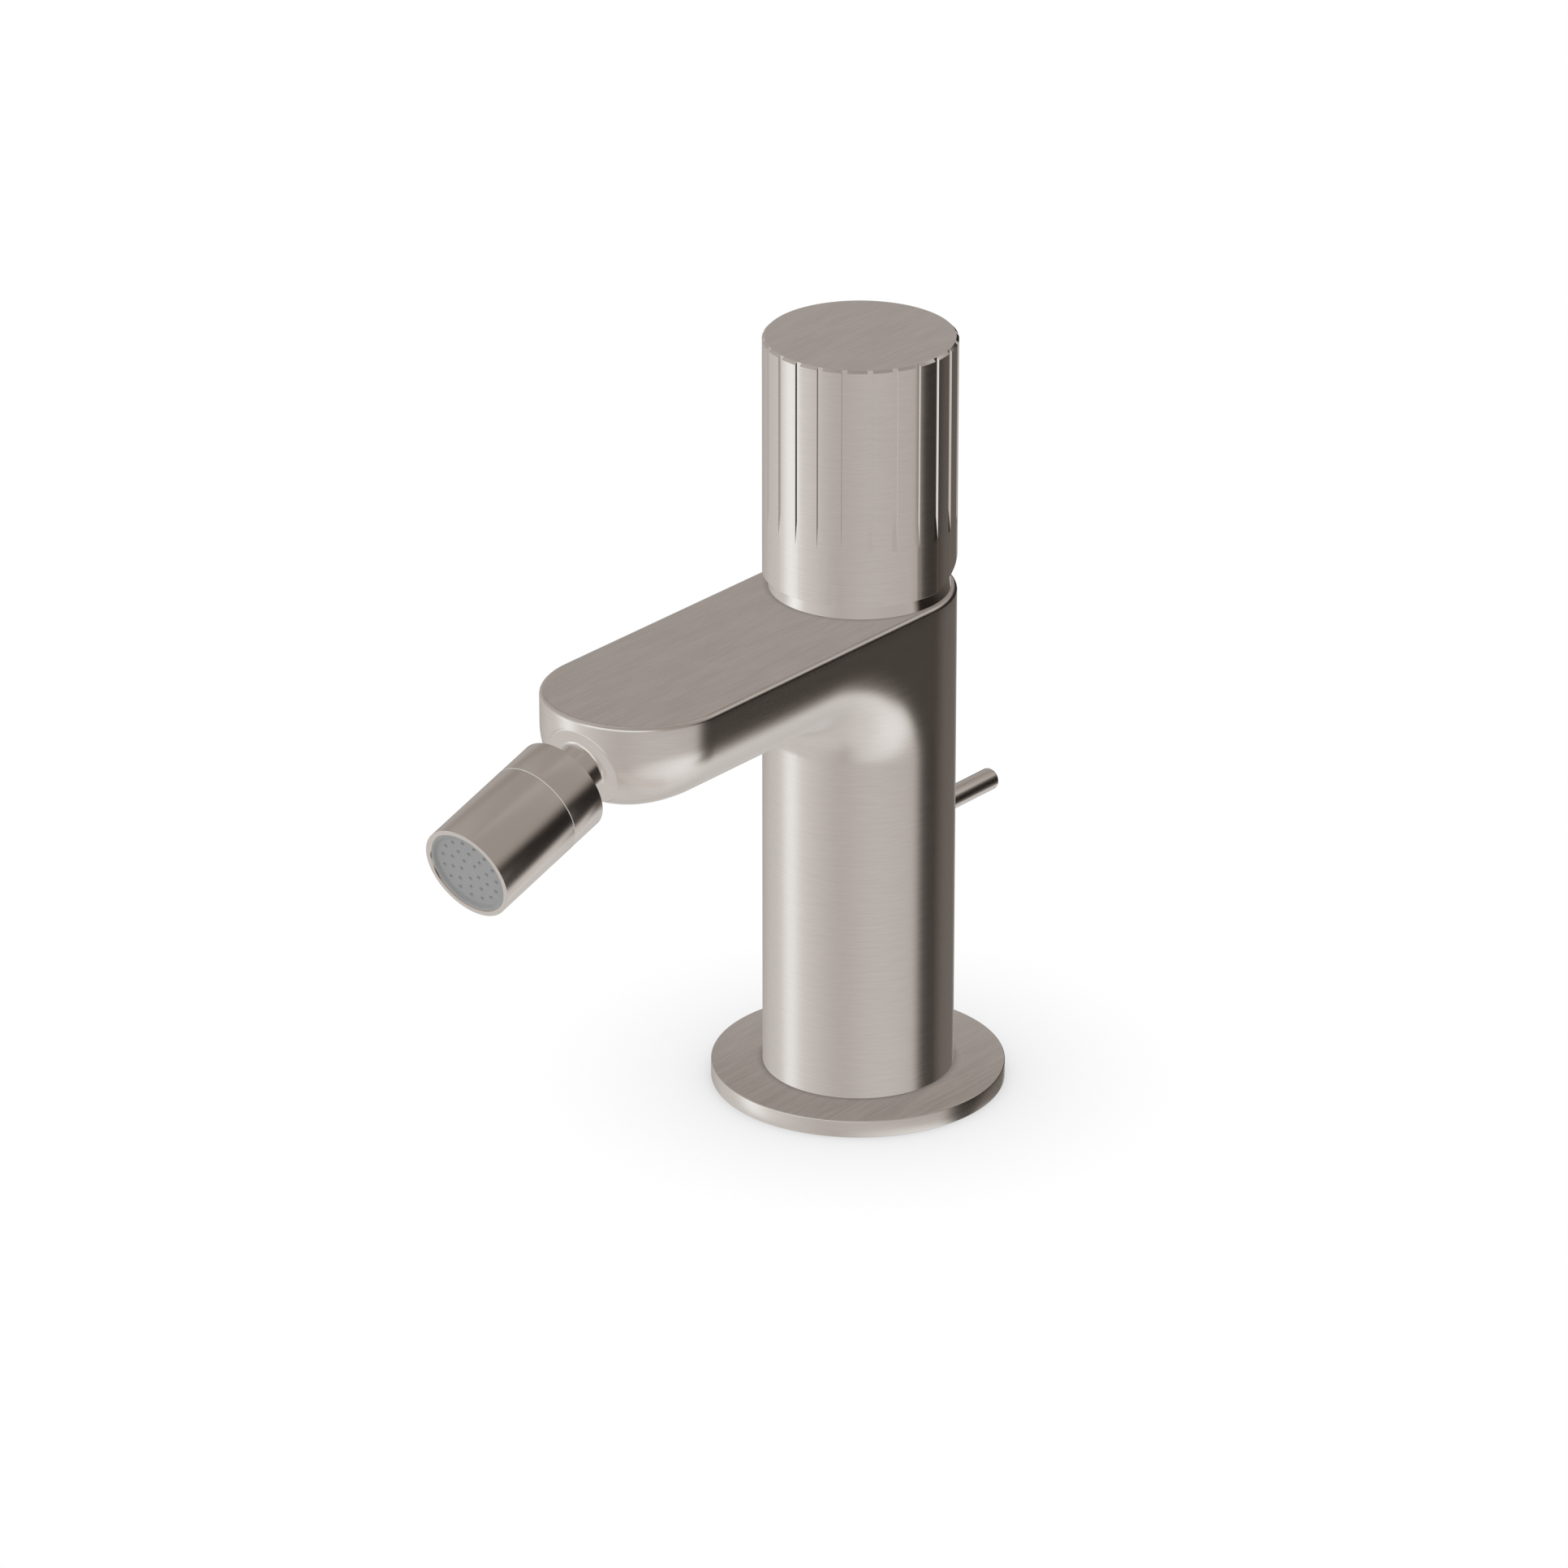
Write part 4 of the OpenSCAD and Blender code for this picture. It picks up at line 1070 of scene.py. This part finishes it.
def make_world():
    """Studio by direction: white to the camera, light panels and two dark flags to the metal.

    Angles are in degrees, and rise is the angle above the level.
    """
    world = bpy.data.worlds.new("studio")
    world.use_nodes = True
    world.cycles.sampling_method = "NONE"
    scene.world = world
    nodes = Nodes(world.node_tree)
    way = nodes.add("ShaderNodeTexCoord")["Generated"]
    axes = nodes.add("ShaderNodeSeparateXYZ", inputs={0: way})
    x, y, z = axes["X"], axes["Y"], axes["Z"]
    degrees = 180 / math.pi
    rise = z.math("ARCSINE") * degrees

    def turned_from(azimuth):
        """Angle round the object from an azimuth, from -180 to 180."""
        c = math.cos(math.radians(azimuth))
        s = math.sin(math.radians(azimuth))
        return (y * c - x * s).math("ARCTAN2", x * c + y * s) * degrees

    def hill(angle, width):
        """1 in the middle, falling to 0 at a width either side."""
        return nodes.step(angle.math("ABSOLUTE"), width, 0)

    def between(angle, start, finish, soft):
        """1 between two angles, with soft edges."""
        rising = nodes.step(angle, start - soft, start + soft)
        return rising * nodes.step(angle, finish + soft, finish - soft)

    # Sky, wall and ground
    front = hill(turned_from(-20), 50)
    sky = nodes.step(rise, -12, 6)
    ground = nodes.step(rise + front * -3, -28, -37)
    wall = 1 - sky - ground
    level = 0.98 * wall + 0.66 * sky + 1.13 * ground

    # Soft key from the left, and a strip for the tip's bright edge
    key = hill(turned_from(-140), 22) * 0.56 + hill(turned_from(-132), 62) * 0.3
    above = nodes.step(rise, -14, -4) * nodes.step(rise, 26, 8) * 0.7
    level = level + key * (wall * nodes.step(rise, -34, -27) + above)
    level = level + between(turned_from(-78), -42, 44, 16) * between(rise, 0, 32, 5)

    # Lighter and darker patches: azimuth, half width, middle rise, half height, strength
    patches = [(58, 17, 33, 14, 0.55), (102, 24, 42, 11, -0.26), (135, 40, 33, 11, -0.16),
               (158, 24, 23, 12, -0.14)]
    for azimuth, width, middle, height, strength in patches:
        level = level + hill(turned_from(azimuth), width) * hill(rise - middle, height) * strength

    # Lighter and darker sides of one zone: azimuth, half width, zone, strength
    sides = [(-66, 15, ground, -0.12), (0, 50, wall, -0.08), (-150, 75, sky, 0.24),
             (72, 40, sky, 0.14), (135, 50, wall, -0.46)]
    for azimuth, width, zone, strength in sides:
        level = level + hill(turned_from(azimuth), width) * zone * strength

    # Lighter and darker sides whose strength changes with the rise
    low_front = 0.07 * wall + 0.2 * ground * nodes.step(rise, -72, -55)
    level = level - hill(turned_from(-76), 40) * low_front
    low_back = nodes.step(rise, -75, -50) * 0.24 + 0.08
    level = level - hill(turned_from(130), 75) * ground * low_back
    low_right = nodes.step(rise, -88, -72) * 0.14 + nodes.step(rise, -72, -46) * 0.36
    level = level + hill(turned_from(14), 88) * ground * low_right

    # Two dark flags on the right, for the dark bands on the column and the knob
    side = turned_from(70)
    left = nodes.step(rise, -26, -40) * 13 - nodes.step(rise, -16, 10) * 13 - 46
    near_flag = (nodes.step(side, left - 7, left + 7) * nodes.step(side, 2, -12)
                 * nodes.step(rise, -49, -39) * nodes.step(rise, 26, 5))
    wider = nodes.step(rise, -20, -14) * nodes.step(rise, 2, -6) * 22 + 43
    far_flag = between(side, -18, wider, 6) * nodes.step(rise, -36, -29) * nodes.step(rise, 26, 12)
    depth = 0.965 - nodes.step(rise, -15, -25) * (0.05 + 0.2 * nodes.step(side, -22, 2))
    light = level * (1 - near_flag.math("MAXIMUM", far_flag) * depth)

    # Bright light is a little blue and dim light is warm
    tint = nodes.ramp(light / 1.8, [(0, (1, 0.87, 0.77)), (0.55, (1, 1, 1)), (1, (1, 1.07, 1.12))])
    studio = nodes.add("ShaderNodeBackground", inputs={"Color": tint, "Strength": light})["Background"]
    white = nodes.add("ShaderNodeBackground", inputs={"Color": WHITE, "Strength": 1.0})["Background"]
    seen = nodes.add("ShaderNodeLightPath")["Is Camera Ray"]
    both = nodes.add("ShaderNodeMixShader", inputs={0: seen, 1: studio, 2: white})["Shader"]
    nodes.add("ShaderNodeOutputWorld", inputs={"Surface": both})


def make_floor():
    """White floor that keeps a soft shadow round the base."""
    half = 9000
    drop = 0.05
    shadow_reach = 56 * MM
    material = bpy.data.materials.new("floor")
    material.use_nodes = True
    nodes = Nodes(material.node_tree)
    inputs = {"Distance": shadow_reach}
    open_sky = nodes.add("ShaderNodeAmbientOcclusion", {"samples": 16}, inputs)["AO"]
    shaded = open_sky * 0.6 + 0.4
    white = nodes.add("ShaderNodeEmission", inputs={"Color": WHITE, "Strength": shaded})
    matt = nodes.add("ShaderNodeBsdfDiffuse", inputs={"Color": (0.8, 0.8, 0.8, 1)})["BSDF"]
    seen = nodes.add("ShaderNodeLightPath")["Is Camera Ray"]
    both = nodes.add("ShaderNodeMixShader", inputs={0: seen, 1: matt, 2: white})["Shader"]
    nodes.add("ShaderNodeOutputMaterial", inputs={"Surface": both})
    points = [(x, y, -drop) for x, y in ((-half, -half), (half, -half), (half, half), (-half, half))]
    floor = finished("floor", points, [(0, 1, 2, 3)])
    floor.data.materials.append(material)
    floor.visible_glossy = False


def make_reflector():
    """A strip of white card beside the nozzle that only the metal sees, for the bright edge under it."""
    # Its place in the nozzle's own frame: beside the axis, below it and along it
    beside = 24
    near = 6
    far = 46
    first = -4
    last = 62
    material = bpy.data.materials.new("reflector")
    material.use_nodes = True
    nodes = Nodes(material.node_tree)
    place = nodes.add("ShaderNodeTexCoord")["Object"]
    inputs = {0: place, 1: tuple(nozzle_side)}
    across = nodes.add("ShaderNodeVectorMath", {"operation": "DOT_PRODUCT"}, inputs)["Value"]
    middle = nozzle_side.dot(nozzle_place.translation)
    under = (across / MM - middle) * card_side
    glow = nodes.add("ShaderNodeEmission", inputs={"Color": (1, 0.99, 0.98, 1), "Strength": 1.14})
    clear = nodes.add("ShaderNodeBsdfTransparent")
    shape = nodes.step(under, 10, 21) * nodes.step(under, 44, 30)
    both = nodes.add("ShaderNodeMixShader", inputs={0: shape, 1: clear, 2: glow})["Shader"]
    nodes.add("ShaderNodeOutputMaterial", inputs={"Surface": both})
    corners = [nozzle_place @ Vector((beside, card_side * below, along))
               for below, along in ((near, first), (far, first), (far, last), (near, last))]
    card = finished("reflector", corners, [(0, 1, 2, 3)])
    card.data.materials.append(material)
    card.visible_camera = False
    card.visible_diffuse = False
    card.visible_shadow = False


make_camera()
make_world()
make_reflector()
make_floor()
make_body()
make_seat_face()
make_flange()
make_collar()
make_knob()
make_stem()
make_rear_sleeve()
make_front_sleeve()
make_painted_seam_highlight()
make_spray_plate()
make_pull_pin()
make_fixings()
make_lift_rod()

for row in frame["record"]["subparts"]:
    node = frame["nodes"][row["node"]]
    node.data.materials.clear()
    node.data.materials.append(FINISHES[row["material_slot"]])
    clear_of_mirrors(node)
